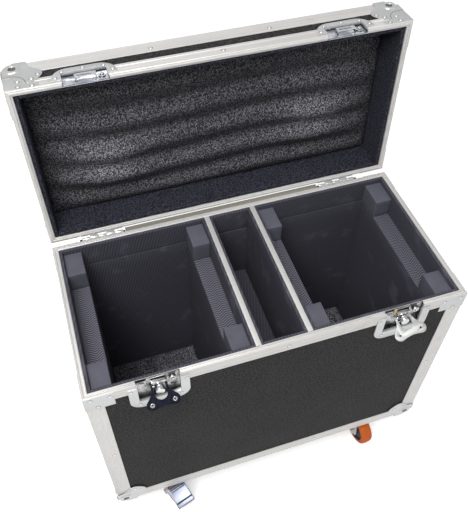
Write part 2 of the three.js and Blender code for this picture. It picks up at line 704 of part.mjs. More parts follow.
// Keeper dishes in the lid, with the slotted catch that the hook takes and a stud beside it
function keeperDish() {
  const foot = LID_RIM + KEEPER_FOOT;
  const outline = roundedBox(DISH_WIDTH / 2, foot, LID_RIM + KEEPER_RISE, KEEPER_CORNER, 'top');
  const top = LID_RIM + KEEPER_POCKET_RISE;
  const half = POCKET_WIDTH / 2;
  const plate = upright(outline, face - FIT - DISH_PROUD, face - FIT, 5);
  const pad = upright(outline, face - FIT - 0.1, face + SHEET, 5)
    .intersect(box(-DISH_WIDTH, DISH_WIDTH, face - 5, 0, LID_RIM + RIM_FACE + FIT, LID_RIM + KEEPER_RISE));
  const shell = box(-half - DISH_SHEET, half + DISH_SHEET, face - FIT - DISH_PROUD, face + POCKET_DEPTH,
    LID_RIM + 1, top + DISH_SHEET);
  const hollow = box(-half, half, face - 5, face + pocketFloor, LID_RIM - 1, top);
  const [low, high] = CATCH_RISE;
  const strap = cut(
    box(CATCH_LEFT, CATCH_RIGHT, face + CATCH_FRONT, face + pocketFloor + 0.5, LID_RIM + low, LID_RIM + high),
    box(CATCH_LEFT + CATCH_SHEET, CATCH_RIGHT - CATCH_SHEET, face + CATCH_FRONT + CATCH_SHEET,
      face + pocketFloor, LID_RIM + low - 1, LID_RIM + high + 1),
    box(-CATCH_SLOT_WIDTH / 2, CATCH_SLOT_WIDTH / 2, face - 3, face + 3,
      LID_RIM + CATCH_SLOT[0], LID_RIM + CATCH_SLOT[1]),
  );
  const studLength = pocketFloor - 2.5;
  const studMiddle = face + 2.5 + studLength / 2 + 0.25;
  const stud = rod('y', STUD_RADIUS * 0.8, studLength + 0.5, STUD_X, studMiddle, LID_RIM + STUD_RISE, 14,
    STUD_RADIUS);
  const ring = rod('y', STUD_RADIUS + 2, 3, STUD_X, face + pocketFloor - 1, LID_RIM + STUD_RISE, 16);
  return join(cut(join(plate, pad, shell), hollow), strap, stud, ring);
}

[['left', -LATCH_X], ['right', LATCH_X]].forEach(([side, x]) => {
  piece(`keeper_dish_${side}`, keeperDish().translate([x, 0, 0]), zinc, lidGroup);
});

// The latch's moving parts, drawn about the spindle's axis: x across, y back from the pivot, z up.
// The key's outline hangs down from its pivot.
function keyOutline() {
  const [inner, outer] = WING_ARM;
  const shape = new THREE.Shape();
  const low = -WING_HOLE_DROP;
  shape.moveTo(inner, 0);
  shape.lineTo(outer, 0);
  shape.lineTo(outer, -7);
  shape.quadraticCurveTo(outer + 2, -17, WING_HOLE_X + 8, low + 8);
  shape.absarc(WING_HOLE_X, low, WING_LOBE, 0.75, -Math.PI * 0.62, true);
  shape.quadraticCurveTo(0, low - 4.5, -WING_HOLE_X - Math.cos(Math.PI * 0.62) * WING_LOBE,
    low - Math.sin(Math.PI * 0.62) * WING_LOBE);
  shape.absarc(-WING_HOLE_X, low, WING_LOBE, -Math.PI * 0.38, -Math.PI - 0.75, true);
  shape.quadraticCurveTo(-outer - 2, -17, -outer, -7);
  shape.lineTo(-outer, 0);
  shape.lineTo(-inner, 0);
  shape.lineTo(-inner, -WING_CUT_DROP);
  shape.absarc(0, -WING_CUT_DROP, WING_CUT_RADIUS, Math.PI, Math.PI * 2, false);
  shape.lineTo(inner, 0);
  return shape;
}

function wingKey() {
  const [inner, outer] = WING_ARM;
  const plate = upright(keyOutline(), -WING_PLATE / 2, WING_PLATE / 2, 5);
  const barrels = [-1, 1].map((side) => rod('x', WING_BARREL, outer - inner, side * (inner + outer) / 2,
    0, 0, 12));
  const holes = [-1, 1].map((side) => (
    rod('y', WING_HOLE_RADIUS, 8, side * WING_HOLE_X, 0, -WING_HOLE_DROP, 12)));
  const bore = rod('x', WING_PIN_RADIUS + PIN_CLEARANCE, outer * 3, 0, 0, 0, 12);
  return cut(join(plate, ...barrels), bore, ...holes);
}

function spindle() {
  const back = SPINDLE_BACK - WING_PIVOT_DEPTH;
  const front = -WING_PIVOT_DEPTH - SPINDLE_PROUD;
  const length = back - front;
  const neckEnd = POCKET_DEPTH - 0.2 - WING_PIVOT_DEPTH;
  return join(
    rod('y', SPINDLE_RADIUS, length, 0, (back + front) / 2, 0, 20),
    rod('y', SPINDLE_RADIUS, SPINDLE_DOME, 0, front - SPINDLE_DOME / 2, 0, 20, SPINDLE_RADIUS),
    rod('y', SPINDLE_NECK, neckEnd - back + 1, 0, (neckEnd + back - 1) / 2, 0, 16),
    rod('x', WING_PIN_RADIUS, (WING_ARM[1] + 0.2) * 2, 0, 0, 0, 12),
  );
}

function hook() {
  const [plateFront, plateBack] = HOOK_PLATE;
  const half = SPINDLE_NECK + PIN_CLEARANCE;
  const top = RIM - HOOK_TOP_DROP;
  const axis = RIM - SPINDLE_DROP;
  const plate = box(-10, 10, face + plateFront, face + plateBack, axis - HOOK_TRAVEL - half - 4.5, top);
  const bar = box(-HOOK_WIDTH / 2, HOOK_WIDTH / 2, face + HOOK_FRONT, face + plateBack,
    top - HOOK_HEIGHT, top);
  const slot = join(
    box(-half, half, face, face + 12, axis - HOOK_TRAVEL, axis),
    rod('y', half, 8, 0, face + 8, axis, 16),
    rod('y', half, 8, 0, face + 8, axis - HOOK_TRAVEL, 16),
  );
  const slotOnly = slot.intersect(box(-9, 9, face + plateFront - 0.1, face + 12, axis - 40, axis + half));
  return cut(join(plate, bar), slotOnly);
}

[['left', -LATCH_X, 0], ['right', LATCH_X, 1]].forEach(([side, x, which]) => {
  const seat = [x, face + WING_PIVOT_DEPTH, RIM - SPINDLE_DROP];
  piece(`latch_spindle_${side}`, spindle().rotate([0, WING_TURN[which], 0]).translate(seat), zinc);
  const folded = wingKey().rotate([-WING_FOLD[which], 0, 0]);
  const turned = folded.rotate([0, WING_TURN[which], 0]);
  piece(`latch_key_${side}`, turned.translate(seat), which ? zinc : darkZinc);
  piece(`latch_hook_${side}`, hook().translate([x, 0, 0]), zinc);
});

// Lid: boards, rim with its braces, edge angles
const lidBoardTop = LID_TOP - SHEET - FIT;
const lidBoardBottom = lidBoardTop - BOARD;
const lidX = HALF_WIDTH - panelInset;
const lidY = HALF_DEPTH - panelInset;
piece('lid_top_panel', cut(box(-lidX, lidX, -lidY, lidY, lidBoardBottom, lidBoardTop), ...lidNotches),
  laminate, lidGroup);
const keeperOpening = (x) => {
  const half = POCKET_WIDTH / 2 + DISH_SHEET + FIT;
  return box(x - half, x + half, face - 2, face + LATCH_NOTCH, LID_RIM - 4,
    LID_RIM + KEEPER_POCKET_RISE + DISH_SHEET + FIT);
};
const wallRing = cut(
  box(-lidX, lidX, -lidY, lidY, LID_RIM + RIM_CAP + FIT, lidBoardBottom - FIT),
  box(-HALF_WIDTH + WALL, HALF_WIDTH - WALL, -HALF_DEPTH + WALL, HALF_DEPTH - WALL, LID_RIM, LID_TOP),
);
const keeperOpenings = eachLatch(keeperOpening);
piece('lid_walls', cut(wallRing, ...keeperOpenings, ...lidNotches), laminate, lidGroup);
piece('lid_rim', cut(join(lidRim, ...fourCorners(lidBrace)), ...keeperOpenings), aluminium, lidGroup);

const topAngle = mitredFrame([
  [0, LID_TOP - EDGE_ROUND], [EDGE_ROUND, LID_TOP], [EDGE_LEG, LID_TOP], [EDGE_LEG, LID_TOP - SHEET],
  [SHEET, LID_TOP - SHEET], [SHEET, LID_TOP - EDGE_LEG], [0, LID_TOP - EDGE_LEG],
]);
const lidUpright = cut(
  cornerPlates([[0, LID_RIM + RIM_FACE + FIT], [EDGE_LEG, LID_RIM + RIM_FACE + FIT],
    [EDGE_LEG, LID_TOP - EDGE_LEG + 1], [0, LID_TOP - EDGE_LEG + 1]], 0, SHEET),
  box(-HALF_WIDTH + SHEET, 0, -HALF_DEPTH + SHEET, 0, RIM, LID_TOP),
);
piece('lid_edge_frame', cut(join(topAngle, ...fourCorners(lidUpright)), ...lidNotches), aluminium, lidGroup);

// Lid foam: strips on the walls and a thick wavy sheet on the board
const lidFoamX = HALF_WIDTH - WALL - FIT;
const lidFoamY = HALF_DEPTH - WALL - FIT;
const lidFoamBack = lidBoardBottom - FIT;
const waveX = lidFoamX - LID_LINING + 1;
const waveY = lidFoamY - LID_LINING + 1;

function wave(x, y) {
  const edgeX = 1 - Math.min(Math.abs(x) / waveX, 1) ** 8;
  const edgeY = 1 - Math.min(Math.abs(y) / waveY, 1) ** 8;
  const edge = Math.max(edgeX * edgeY, 0);
  const bend = 10 * Math.sin(x / 120) - 0.03 * x;
  const phase = ((y - LID_WAVE_CREST + bend) / LID_WAVE_PITCH) * Math.PI * 2;
  const swell = LID_SWELLS.reduce((sum, [sx, sy]) => (
    sum + Math.exp(-(((x - sx) / 85) ** 2) - ((y - sy) / 60) ** 2)), 0);
  return LID_FOAM_BASE + edge * (LID_WAVE * (0.5 + 0.5 * Math.cos(phase)) + LID_SWELL * swell);
}

function wavySheet() {
  const geometry = new THREE.BoxGeometry(waveX * 2, waveY * 2, 2, LID_FOAM_COLUMNS, LID_FOAM_ROWS, 1);
  const position = geometry.attributes.position;
  for (let i = 0; i < position.count; i += 1) {
    const low = position.getZ(i) < 0;
    const drop = low ? wave(position.getX(i), position.getY(i)) : -3;
    position.setZ(i, lidFoamBack - drop);
  }
  const wavy = solid(geometry);
  return wavy.intersect(box(-HALF_WIDTH, HALF_WIDTH, -HALF_DEPTH, HALF_DEPTH, LID_RIM, lidFoamBack));
}

const lidStrips = cut(
  box(-lidFoamX, lidFoamX, -lidFoamY, lidFoamY, LID_RIM + 2, lidFoamBack),
  box(-lidFoamX + LID_LINING, lidFoamX - LID_LINING, -lidFoamY + LID_LINING, lidFoamY - LID_LINING,
    LID_RIM, LID_TOP),
);
piece('lid_foam', join(lidStrips, wavySheet()), fuzzyBlack, lidGroup);

// Back hinges: the odd knuckles and the pin belong to the body's leaf, the even ones to the lid's
const backFace = HALF_DEPTH + FIT;
const knuckleLength = HINGE_LENGTH / KNUCKLES;

function knuckles(x, first) {
  return Array.from({ length: KNUCKLES }, (_, i) => i).filter((i) => i % 2 === first).map((i) => {
    const start = x - HINGE_LENGTH / 2 + i * knuckleLength + FIT / 2;
    const end = start + knuckleLength - FIT;
    const barrel = rod('x', KNUCKLE_RADIUS, end - start, (start + end) / 2, LID_AXIS.y, LID_AXIS.z, 12);
    const reach = first ? LID_RIM + 4 : LID_AXIS.z - KNUCKLE_RADIUS - 3;
    const web = box(start, end, backFace, LID_AXIS.y - HINGE_PIN_RADIUS - PIN_CLEARANCE - 0.6,
      Math.min(reach, LID_AXIS.z), Math.max(reach, LID_AXIS.z));
    return join(barrel, web);
  });
}

[['left', HINGE_X[0]], ['right', HINGE_X[1]]].forEach(([side, x]) => {
  const half = HINGE_LENGTH / 2;
  const pin = rod('x', HINGE_PIN_RADIUS, HINGE_LENGTH, x, LID_AXIS.y, LID_AXIS.z, 10);
  const baseTop = LID_AXIS.z - KNUCKLE_RADIUS - 0.5;
  const baseLeaf = box(x - half, x + half, backFace, backFace + HINGE_PLATE,
    baseTop - HINGE_LEAF_HEIGHT, baseTop);
  piece(`hinge_base_leaf_${side}`, join(baseLeaf, ...knuckles(x, 0), pin), zinc);
  const bore = rod('x', HINGE_PIN_RADIUS + PIN_CLEARANCE, HINGE_LENGTH + 2, x, LID_AXIS.y, LID_AXIS.z, 10);
  const lidBottom = LID_AXIS.z + KNUCKLE_RADIUS + 2;
  const lidLeaf = box(x - half, x + half, backFace, backFace + HINGE_PLATE, lidBottom,
    lidBottom + HINGE_LID_LEAF_HEIGHT);
  piece(`hinge_lid_leaf_${side}`, cut(join(lidLeaf, ...knuckles(x, 1)), bore), zinc, lidGroup);
});

// Recessed side handles: a dish in each end wall and a drop bail
function endwise(side, shape) {
  return side < 0 ? shape.scale([-1, 1, 1]) : shape;
}

function handleDish() {
  const middle = RIM - HANDLE_DROP;
  const boardFace = HALF_WIDTH - panelInset + FIT;
  const halfHeight = HANDLE_HEIGHT / 2;
  const outline = roundedBox(HANDLE_WIDTH / 2, middle - halfHeight, middle + halfHeight, HANDLE_CORNER);
  const plate = sideways(outline, boardFace, boardFace + 1.2, 5);
  const inner = HALF_WIDTH - HANDLE_DEPTH;
  const y = HANDLE_POCKET_WIDTH / 2;
  const z = HANDLE_POCKET_HEIGHT / 2;
  const shell = box(inner, boardFace + 1, -y - DISH_SHEET, y + DISH_SHEET,
    middle - z - DISH_SHEET, middle + z + DISH_SHEET);
  const hollow = box(inner + DISH_SHEET, HALF_WIDTH + 5, -y, y, middle - z, middle + z);
  const pivotX = HALF_WIDTH - BAIL_PIVOT_DEPTH;
  const pivotZ = middle + BAIL_PIVOT_RISE;
  const bosses = [-1, 1].map((end) => {
    const low = Math.min(end * (y + 0.5), end * (y - 4));
    return box(inner + 0.5, HALF_WIDTH - 1.5, low, low + 4.5, pivotZ - 6, pivotZ + 6);
  });
  const bore = rod('y', BAIL_SWING_PIN + PIN_CLEARANCE, 2 * y, 0, 0, 0, 14).translate([pivotX, 0, pivotZ]);
  return cut(join(cut(join(plate, shell), hollow), ...bosses), bore);
}

function bail() {
  const pivotX = HALF_WIDTH - BAIL_PIVOT_DEPTH;
  const pivotZ = RIM - HANDLE_DROP + BAIL_PIVOT_RISE;
  const half = BAIL_WIDTH / 2;
  const pinLength = HANDLE_POCKET_WIDTH / 2 - 0.5 - half;
  const armLength = BAIL_DROP + BAIL_RADIUS;
  const arms = [-1, 1].map((end) => join(
    rod('z', BAIL_RADIUS, armLength, pivotX, end * half, pivotZ + BAIL_RADIUS - armLength / 2, 12),
    rod('y', BAIL_SWING_PIN, pinLength, pivotX, end * (half + pinLength / 2), pivotZ, 12),
  ));
  const grip = rod('y', GRIP_RADIUS, BAIL_WIDTH + BAIL_RADIUS * 2, pivotX, 0, pivotZ - BAIL_DROP, 14);
  return join(...arms, grip);
}

[['left', -1], ['right', 1]].forEach(([side, end]) => {
  piece(`handle_dish_${side}`, endwise(end, handleDish()), zinc);
  piece(`handle_bail_${side}`, endwise(end, bail()), darkZinc);
});

// Casters, drawn about the swivel axis with the wheel trailing toward -Y, then turned.
// The fork carries the king pin, the axle and its nuts.
const crownTop = headBottom - CROWN_DROP;
const crownBottom = crownTop - CROWN_SHEET;
const forkInner = WHEEL_WIDTH / 2 + FORK_GAP;
const forkOuter = forkInner + FORK_SHEET;

function forkLeg() {
  const shape = new THREE.Shape();
  shape.moveTo(HEAD_RADIUS - 3, crownTop);
  shape.lineTo(-CASTER_TRAIL - 2, crownTop);
  shape.lineTo(-CASTER_TRAIL - 12, WHEEL_RADIUS + 2);
  shape.absarc(-CASTER_TRAIL, WHEEL_RADIUS, 12, Math.PI, Math.PI * 2, false);
  shape.lineTo(2, crownBottom - 16);
  shape.lineTo(HEAD_RADIUS - 3, crownBottom - 6);
  return shape;
}

function casterFork(braked) {
  const crown = join(
    box(-forkOuter, forkOuter, -CASTER_TRAIL - 2, HEAD_RADIUS - 3, crownBottom, crownTop),
    rod('z', HEAD_RADIUS - 1, CROWN_SHEET, 0, 0, (crownBottom + crownTop) / 2, 20),
  );
  const legs = [sideways(forkLeg(), forkInner, forkOuter), sideways(forkLeg(), -forkOuter, -forkInner)];
  const pinHeight = HEAD_HEIGHT - CROWN_DROP;
  const kingpin = rod('z', KINGPIN_RADIUS, pinHeight, 0, 0, crownTop - 1 + pinHeight / 2, 12);
  const axle = rod('x', AXLE_RADIUS, forkOuter * 2, 0, -CASTER_TRAIL, WHEEL_RADIUS, 16);
  const nuts = [-1, 1].map((side) => rod('x', AXLE_NUT, AXLE_NUT_LENGTH,
    side * (forkOuter + AXLE_NUT_LENGTH / 2 - 0.2), -CASTER_TRAIL, WHEEL_RADIUS, 6));
  const fork = join(crown, ...legs, kingpin, axle, ...nuts);
  const pinHole = rod('x', PEDAL_PIN_RADIUS + PIN_CLEARANCE, forkOuter * 3, 0, -PEDAL_PIN_TRAIL,
    PEDAL_PIN_HEIGHT, 12);
  return braked ? cut(fork, pinHole) : fork;
}

function wheel() {
  const half = WHEEL_WIDTH / 2;
  const bore = AXLE_RADIUS + 0.35;
  const web = half - 5;
  const profile = [
    [bore, -half], [WHEEL_BOSS_RADIUS, -half], [WHEEL_BOSS_RADIUS, -web], [WHEEL_CORE_RADIUS, -web],
    [WHEEL_CORE_RADIUS, -half], [WHEEL_RADIUS - 4, -half], [WHEEL_RADIUS, -half + 6],
    [WHEEL_RADIUS, half - 6], [WHEEL_RADIUS - 4, half], [WHEEL_CORE_RADIUS, half],
    [WHEEL_CORE_RADIUS, web], [WHEEL_BOSS_RADIUS, web],
    [WHEEL_BOSS_RADIUS, half], [bore, half], [bore, -half],
  ];
  const geometry = new THREE.LatheGeometry(profile.map(([r, h]) => new THREE.Vector2(r, h)), 16);
  geometry.rotateZ(-Math.PI / 2);
  geometry.translate(0, -CASTER_TRAIL, WHEEL_RADIUS);
  return solid(geometry);
}

function brakePedal() {
  const inner = forkOuter + FIT;
  const outer = inner + PEDAL_SHEET;
  const height = (trail) => PEDAL_PIN_HEIGHT - (trail - PEDAL_PIN_TRAIL) * PEDAL_SLOPE;
  const cheek = polygon([
    [-PEDAL_START, PEDAL_PIN_HEIGHT + 4], [-PEDAL_START, PEDAL_PIN_HEIGHT - 7],
    [-PEDAL_PIN_TRAIL - 7, PEDAL_PIN_HEIGHT - 8], [-60, height(60) - 8],
    [-PEDAL_REACH, height(PEDAL_REACH) - 5], [-PEDAL_REACH, height(PEDAL_REACH)], [-46, height(46)],
    [-38, PEDAL_PIN_HEIGHT + 4],
  ]);
  const tread = polygon([
    [-46, height(46)], [-46, height(46) - PEDAL_SHEET],
    [-PEDAL_REACH + 3, height(PEDAL_REACH - 3) - PEDAL_SHEET],
    [-PEDAL_REACH + 2, height(PEDAL_REACH) - PEDAL_LIP],
    [-PEDAL_REACH - 0.5, height(PEDAL_REACH) - PEDAL_LIP],
    [-PEDAL_REACH - 0.5, height(PEDAL_REACH) - 1], [-PEDAL_REACH + 1, height(PEDAL_REACH)],
  ]);
  return join(
    sideways(cheek, inner, outer), sideways(cheek, -outer, -inner), sideways(tread, -outer, outer),
    rod('x', PEDAL_PIN_RADIUS, outer * 2, 0, -PEDAL_PIN_TRAIL, PEDAL_PIN_HEIGHT, 12),
  );
}

CASTERS.forEach(({ place, x, y, trail, braked }) => {
  const set = (shape) => shape.rotate([0, 0, trail]).translate([x * CASTER_X, y * CASTER_Y, 0]);
  piece(`caster_fork_${place}`, set(casterFork(braked)), zinc);
  piece(`caster_wheel_${place}`, set(wheel()), orangeTyre);
  if (braked) piece(`brake_pedal_${place}`, set(brakePedal()), zinc);
});

// The lid stands open about its hinge axis, and the whole case is centred on its own extents
const pivot = new THREE.Vector3(0, LID_AXIS.y, LID_AXIS.z);
lidGroup.rotation.x = -THREE.MathUtils.degToRad(LID_OPEN_ANGLE);
lidGroup.position.copy(pivot).sub(pivot.clone().applyEuler(lidGroup.rotation));
flightCase.updateMatrixWorld(true);
const extents = new THREE.Box3().setFromObject(flightCase, true);
flightCase.position.y = -(extents.min.y + extents.max.y) / 2;

export default flightCase;
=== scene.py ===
"""Looks of a lighting flight case: black laminated boards in aluminium edges, with ball corners,
butterfly latches, lined bays with foam cradles, wavy foam in the open lid and four casters."""

import json
import math

import bmesh
import bpy
from mathutils import Matrix, Vector, noise

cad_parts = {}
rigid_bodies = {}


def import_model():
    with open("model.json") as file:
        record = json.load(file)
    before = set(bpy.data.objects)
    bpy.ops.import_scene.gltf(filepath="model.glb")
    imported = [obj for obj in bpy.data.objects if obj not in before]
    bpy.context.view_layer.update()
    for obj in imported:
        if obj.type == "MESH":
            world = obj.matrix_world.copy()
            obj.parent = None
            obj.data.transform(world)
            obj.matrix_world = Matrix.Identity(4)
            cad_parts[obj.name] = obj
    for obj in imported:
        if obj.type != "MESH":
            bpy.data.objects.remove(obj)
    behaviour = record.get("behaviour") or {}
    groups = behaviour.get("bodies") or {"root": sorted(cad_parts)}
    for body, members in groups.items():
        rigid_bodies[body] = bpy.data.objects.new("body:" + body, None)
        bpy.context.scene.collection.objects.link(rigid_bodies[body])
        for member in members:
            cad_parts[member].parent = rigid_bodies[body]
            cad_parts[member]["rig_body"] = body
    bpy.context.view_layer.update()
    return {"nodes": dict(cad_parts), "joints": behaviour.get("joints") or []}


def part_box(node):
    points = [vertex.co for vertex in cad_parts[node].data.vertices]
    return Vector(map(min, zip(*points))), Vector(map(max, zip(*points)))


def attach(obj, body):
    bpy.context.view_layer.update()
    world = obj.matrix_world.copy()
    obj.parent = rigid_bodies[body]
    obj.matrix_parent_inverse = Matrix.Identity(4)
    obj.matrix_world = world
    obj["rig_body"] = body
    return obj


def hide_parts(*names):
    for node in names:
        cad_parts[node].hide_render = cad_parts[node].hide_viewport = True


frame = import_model()
nodes = frame["nodes"]

# Camera: a normal lens held high in front of the case and to its left, rolled a little,
# with the sight line aimed at the middle bay.
lens = bpy.data.cameras.new("camera")
lens.lens = 45.03
lens.sensor_width = 36
lens.clip_start = 0.05
eye = Vector((-0.29765, -0.767477, 1.62064))
sight = Vector((0.20720386, 0.60058074, -0.77224953))
upward = Vector((0.2333969, 0.73623938, 0.63519875))
across = sight.cross(upward)
camera = bpy.data.objects.new("camera", lens)
bpy.context.scene.collection.objects.link(camera)
camera.matrix_world = Matrix((across, upward, -sight)).transposed().to_4x4()
camera.location = eye
bpy.context.scene.camera = camera


# Boards: plywood faced with black phenolic laminate, its face finely pebbled, with a faint
# cloudiness and a few pale scuffs. The boards slide into the aluminium edges.
class Field:
    """A socket in a material's node tree. Sums and products of fields add Math nodes."""

    def __init__(self, tree, socket):
        self.tree = tree
        self.socket = socket

    def node(self, kind, settings, sockets, output=0):
        """Any shader node: its settings first, then the values or links of its sockets."""
        made = self.tree.nodes.new("ShaderNode" + kind)
        for name, value in settings.items():
            setattr(made, name, value)
        for name, value in sockets.items():
            if isinstance(value, Field):
                self.tree.links.new(value.socket, made.inputs[name])
            else:
                made.inputs[name].default_value = value
        return Field(self.tree, made.outputs[output])

    def math(self, operation, *values):
        return self.node("Math", {"operation": operation}, dict(enumerate(values)))

    def __add__(self, other):
        return self.math("ADD", self, other)

    def __sub__(self, other):
        return self.math("SUBTRACT", self, other)

    def __rsub__(self, other):
        return self.math("SUBTRACT", other, self)

    def __mul__(self, other):
        return self.math("MULTIPLY", self, other)

    def __truediv__(self, other):
        return self.math("DIVIDE", self, other)

    def __rtruediv__(self, other):
        return self.math("DIVIDE", other, self)

    def __gt__(self, other):
        return self.math("GREATER_THAN", self, other)

    def __lt__(self, other):
        return self.math("LESS_THAN", self, other)

    __radd__ = __add__
    __rmul__ = __mul__

    def part(self, number):
        """One of the three parts of a vector: 0 for X, 1 for Y and 2 for Z."""
        return self.node("SeparateXYZ", {}, {"Vector": self}, number)

    def dot(self, direction):
        return self.node("VectorMath", {"operation": "DOT_PRODUCT"}, {0: self, 1: direction}, 1)

    def laid(self, scale, turn=(0, 0, 0)):
        """These coordinates turned and scaled, for a pattern that runs one way."""
        return self.node("Mapping", {}, {"Vector": self, "Rotation": turn, "Scale": scale})

    def grain(self, scale, detail=2, **more):
        """Cloudy noise from 0 to 1, with about scale clouds to the metre."""
        return self.node("TexNoise", {}, {"Vector": self, "Scale": scale, "Detail": detail, **more})

    def between(self, low, high):
        """0 below low, 1 above high, and a smooth step between them."""
        return self.node("MapRange", {"interpolation_type": "SMOOTHSTEP"}, {0: self, 1: low, 2: high})

    def blend(self, low, high):
        """The colour low where this field is 0, and high where it is 1."""
        return self.node("Mix", {"data_type": "RGBA"}, {0: self, 6: low, 7: high}, 2)

    def bump(self, depth, strength=1.0):
        """A normal from this height, where 1 stands depth metres proud."""
        return self.node("Bump", {}, {"Height": self, "Distance": depth, "Strength": strength})


def tone(red, green, blue):
    """A colour as it shows on a screen, 0 to 255, turned to the linear values of a shader."""
    linear = [((c / 255 + 0.055) / 1.055) ** 2.4 if c > 10 else c / 3295 for c in (red, green, blue)]
    return (*linear, 1)


def finish(name, paint):
    """A material; paint takes the object's coordinates and gives the shader's sockets."""
    made = bpy.data.materials.new(name)
    made.use_nodes = True
    tree = made.node_tree
    shader = tree.nodes["Principled BSDF"]
    place = tree.nodes.new("ShaderNodeTexCoord")
    for socket, value in paint(Field(tree, place.outputs["Object"])).items():
        if isinstance(value, Field):
            tree.links.new(value.socket, shader.inputs[socket])
        else:
            shader.inputs[socket].default_value = value
    return made


def laminate_paint(at):
    pebble = at.grain(280, Roughness=0.6)
    cloud = at.grain(9, 4)
    scratch = at.laid((6, 90, 300), (0.3, 0.8, 0.2)).grain(3)
    worn = scratch.between(0.66, 0.74) * cloud.between(0.5, 0.62)
    ground = (pebble.between(0.34, 0.66) * 0.75 + cloud * 0.25).blend(tone(8, 8, 9), tone(64, 63, 63))
    return {
        "Base Color": (worn * 0.3).blend(ground, tone(104, 104, 106)),
        "Roughness": 0.46 + pebble * 0.22,
        "Normal": pebble.bump(0.00016, 0.5),
        "Specular IOR Level": 0.06,
    }


laminate = finish("black_laminate", laminate_paint)


def dress(look, *names):
    """Gives carried-over CAD nodes their material."""
    for name in names:
        nodes[name].data.materials.clear()
        nodes[name].data.materials.append(look)


dress(laminate, "front_panel", "back_panel", "left_panel", "right_panel", "lid_top_panel", "lid_walls")


# Aluminium extrusions: rims with a groove and a tongue, edge angles and divider caps, drawn
# with fine lines along their length, anodised pale, and scuffed grey where cases rub.
# Further out than this the profiles run across the ends, and so do their lines
end_zone = 0.342


def aluminium_paint(at):
    near_end = at.math("ABSOLUTE", at.part(0)) > end_zone
    long_line = at.laid((3, 420, 420)).grain(1)
    short_line = at.laid((420, 3, 60)).grain(1)
    line = long_line * (1 - near_end) + short_line * near_end
    patch = at.grain(16, 6, Roughness=0.62)
    rub = patch.between(0.56, 0.78)
    ground = (line * 0.6 + patch * 0.4).blend(tone(182, 179, 176), tone(228, 227, 225))
    return {
        "Base Color": (rub * 0.35).blend(ground, tone(148, 143, 136)),
        "Metallic": 0.4,
        "Roughness": 0.36 + line * 0.14,
        "Normal": line.bump(0.00006, 0.4),
    }


aluminium = finish("drawn_aluminium", aluminium_paint)


def piece(name, mesh, look, body, slot, *replaced):
    """Makes a finished piece from a bmesh, in place, and hands it to its CAD body."""
    data = bpy.data.meshes.new(name)
    mesh.to_mesh(data)
    mesh.free()
    for finish_used in look if isinstance(look, list) else [look]:
        data.materials.append(finish_used)
    made = bpy.data.objects.new(name, data)
    bpy.context.scene.collection.objects.link(made)
    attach(made, body)
    if replaced:
        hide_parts(*replaced)
    return made


def smoothed(made):
    """Shades a piece smooth all over."""
    for face in made.data.polygons:
        face.use_smooth = True
    return made


def soften(made, width, segments=2):
    """Rounds a piece's sharp edges with a live bevel, and shades it smooth between them."""
    smoothed(made)
    bevel = made.modifiers.new("edges", "BEVEL")
    bevel.width = width
    bevel.segments = segments
    bevel.limit_method = "ANGLE"
    bevel.angle_limit = math.radians(32)
    bevel.harden_normals = True


def merged(node):
    """A bmesh copy of a CAD node, with its loose triangles joined into whole faces."""
    mesh = bmesh.new()
    mesh.from_mesh(nodes[node].data)
    bmesh.ops.remove_doubles(mesh, verts=mesh.verts, dist=1e-5)
    bmesh.ops.dissolve_limit(mesh, angle_limit=math.radians(0.6), verts=mesh.verts, edges=mesh.edges)
    return mesh


def worked(node, look, slot, width, segments=2):
    """A CAD node with its edges eased as the press or the saw leaves them."""
    body = nodes[node]["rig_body"]
    soften(piece("worked_" + node, merged(node), look, body, slot, node), width, segments)


def zinc_paint(at):
    grain = at.grain(1300)
    smear = at.grain(34, 5)
    dull = smear.between(0.5, 0.72)
    return {
        "Base Color": (smear * 0.6 + grain * 0.4).blend(tone(186, 187, 187), tone(214, 215, 215)),
        "Metallic": 0.62,
        "Roughness": 0.26 + grain * 0.08 + dull * 0.1,
        "Normal": (grain * 0.5 + smear * 0.5).bump(0.00004, 0.4),
    }


zinc = finish("zinc_plate", zinc_paint)

case_low, case_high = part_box("body_edge_frame")
brace_proud = 0.0002
lid_hinge = next(joint for joint in frame["joints"] if joint["name"] == "lid_hinge")
hinge_point = Vector(lid_hinge["pos_m"])
lid_angle = math.radians(lid_hinge["range_deg"][1])
lid_open = (Matrix.Translation(hinge_point) @ Matrix.Rotation(-lid_angle, 4, "X")
            @ Matrix.Translation(-hinge_point))

for name, look, set_back in (
    ("body_rim", [aluminium, zinc], Matrix()),
    ("lid_rim", [aluminium, zinc], lid_open.inverted()),
    ("body_edge_frame", aluminium, Matrix()),
    ("lid_edge_frame", aluminium, Matrix()),
):
    mesh = merged(name)
    if isinstance(look, list):
        for face in mesh.faces:
            # The zinc braces stand out from the case's own faces
            spot = set_back @ face.calc_center_median()
            beyond = max(case_low.y - spot.y, spot.y - case_high.y, abs(spot.x) - case_high.x)
            face.material_index = 1 if beyond > brace_proud else 0
    soften(piece("worked_" + name, mesh, look, nodes[name]["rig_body"], "aluminium", name), 0.0004)
for side in ("left", "right"):
    worked("divider_cap_" + side, aluminium, "aluminium", 0.0006, 3)


# Corners: pressed steel, zinc plated and bright, with a ball, two dimples and three riveted plates. The
# dimples are painted dark as shade. Eight alike, made once for the front left of the base and mirrored to
# the rest.
def speckled(scale, detail, tones, metal, rough, dent, strength=0.4):
    """Paint for a plain finish: a grain from one tone to the other, and from one roughness to
    the other, with dents as deep as dent."""
    def paint(at):
        grain = at.grain(scale, detail)
        return {
            "Base Color": grain.blend(tone(*tones[0]), tone(*tones[1])),
            "Metallic": metal,
            "Roughness": rough[0] + grain * (rough[1] - rough[0]),
            "Normal": grain.bump(dent, strength),
        }
    return paint


# Dark zinc as painted shade: it goes in the dimples of the corners and round the foot of each rivet.
dimple_shade_tones = ((88, 86, 80), (136, 133, 124))
dimple = finish("zinc_painted_shade", speckled(900, 3, dimple_shade_tones, 0.7, (0.4, 0.5), 0.00006))

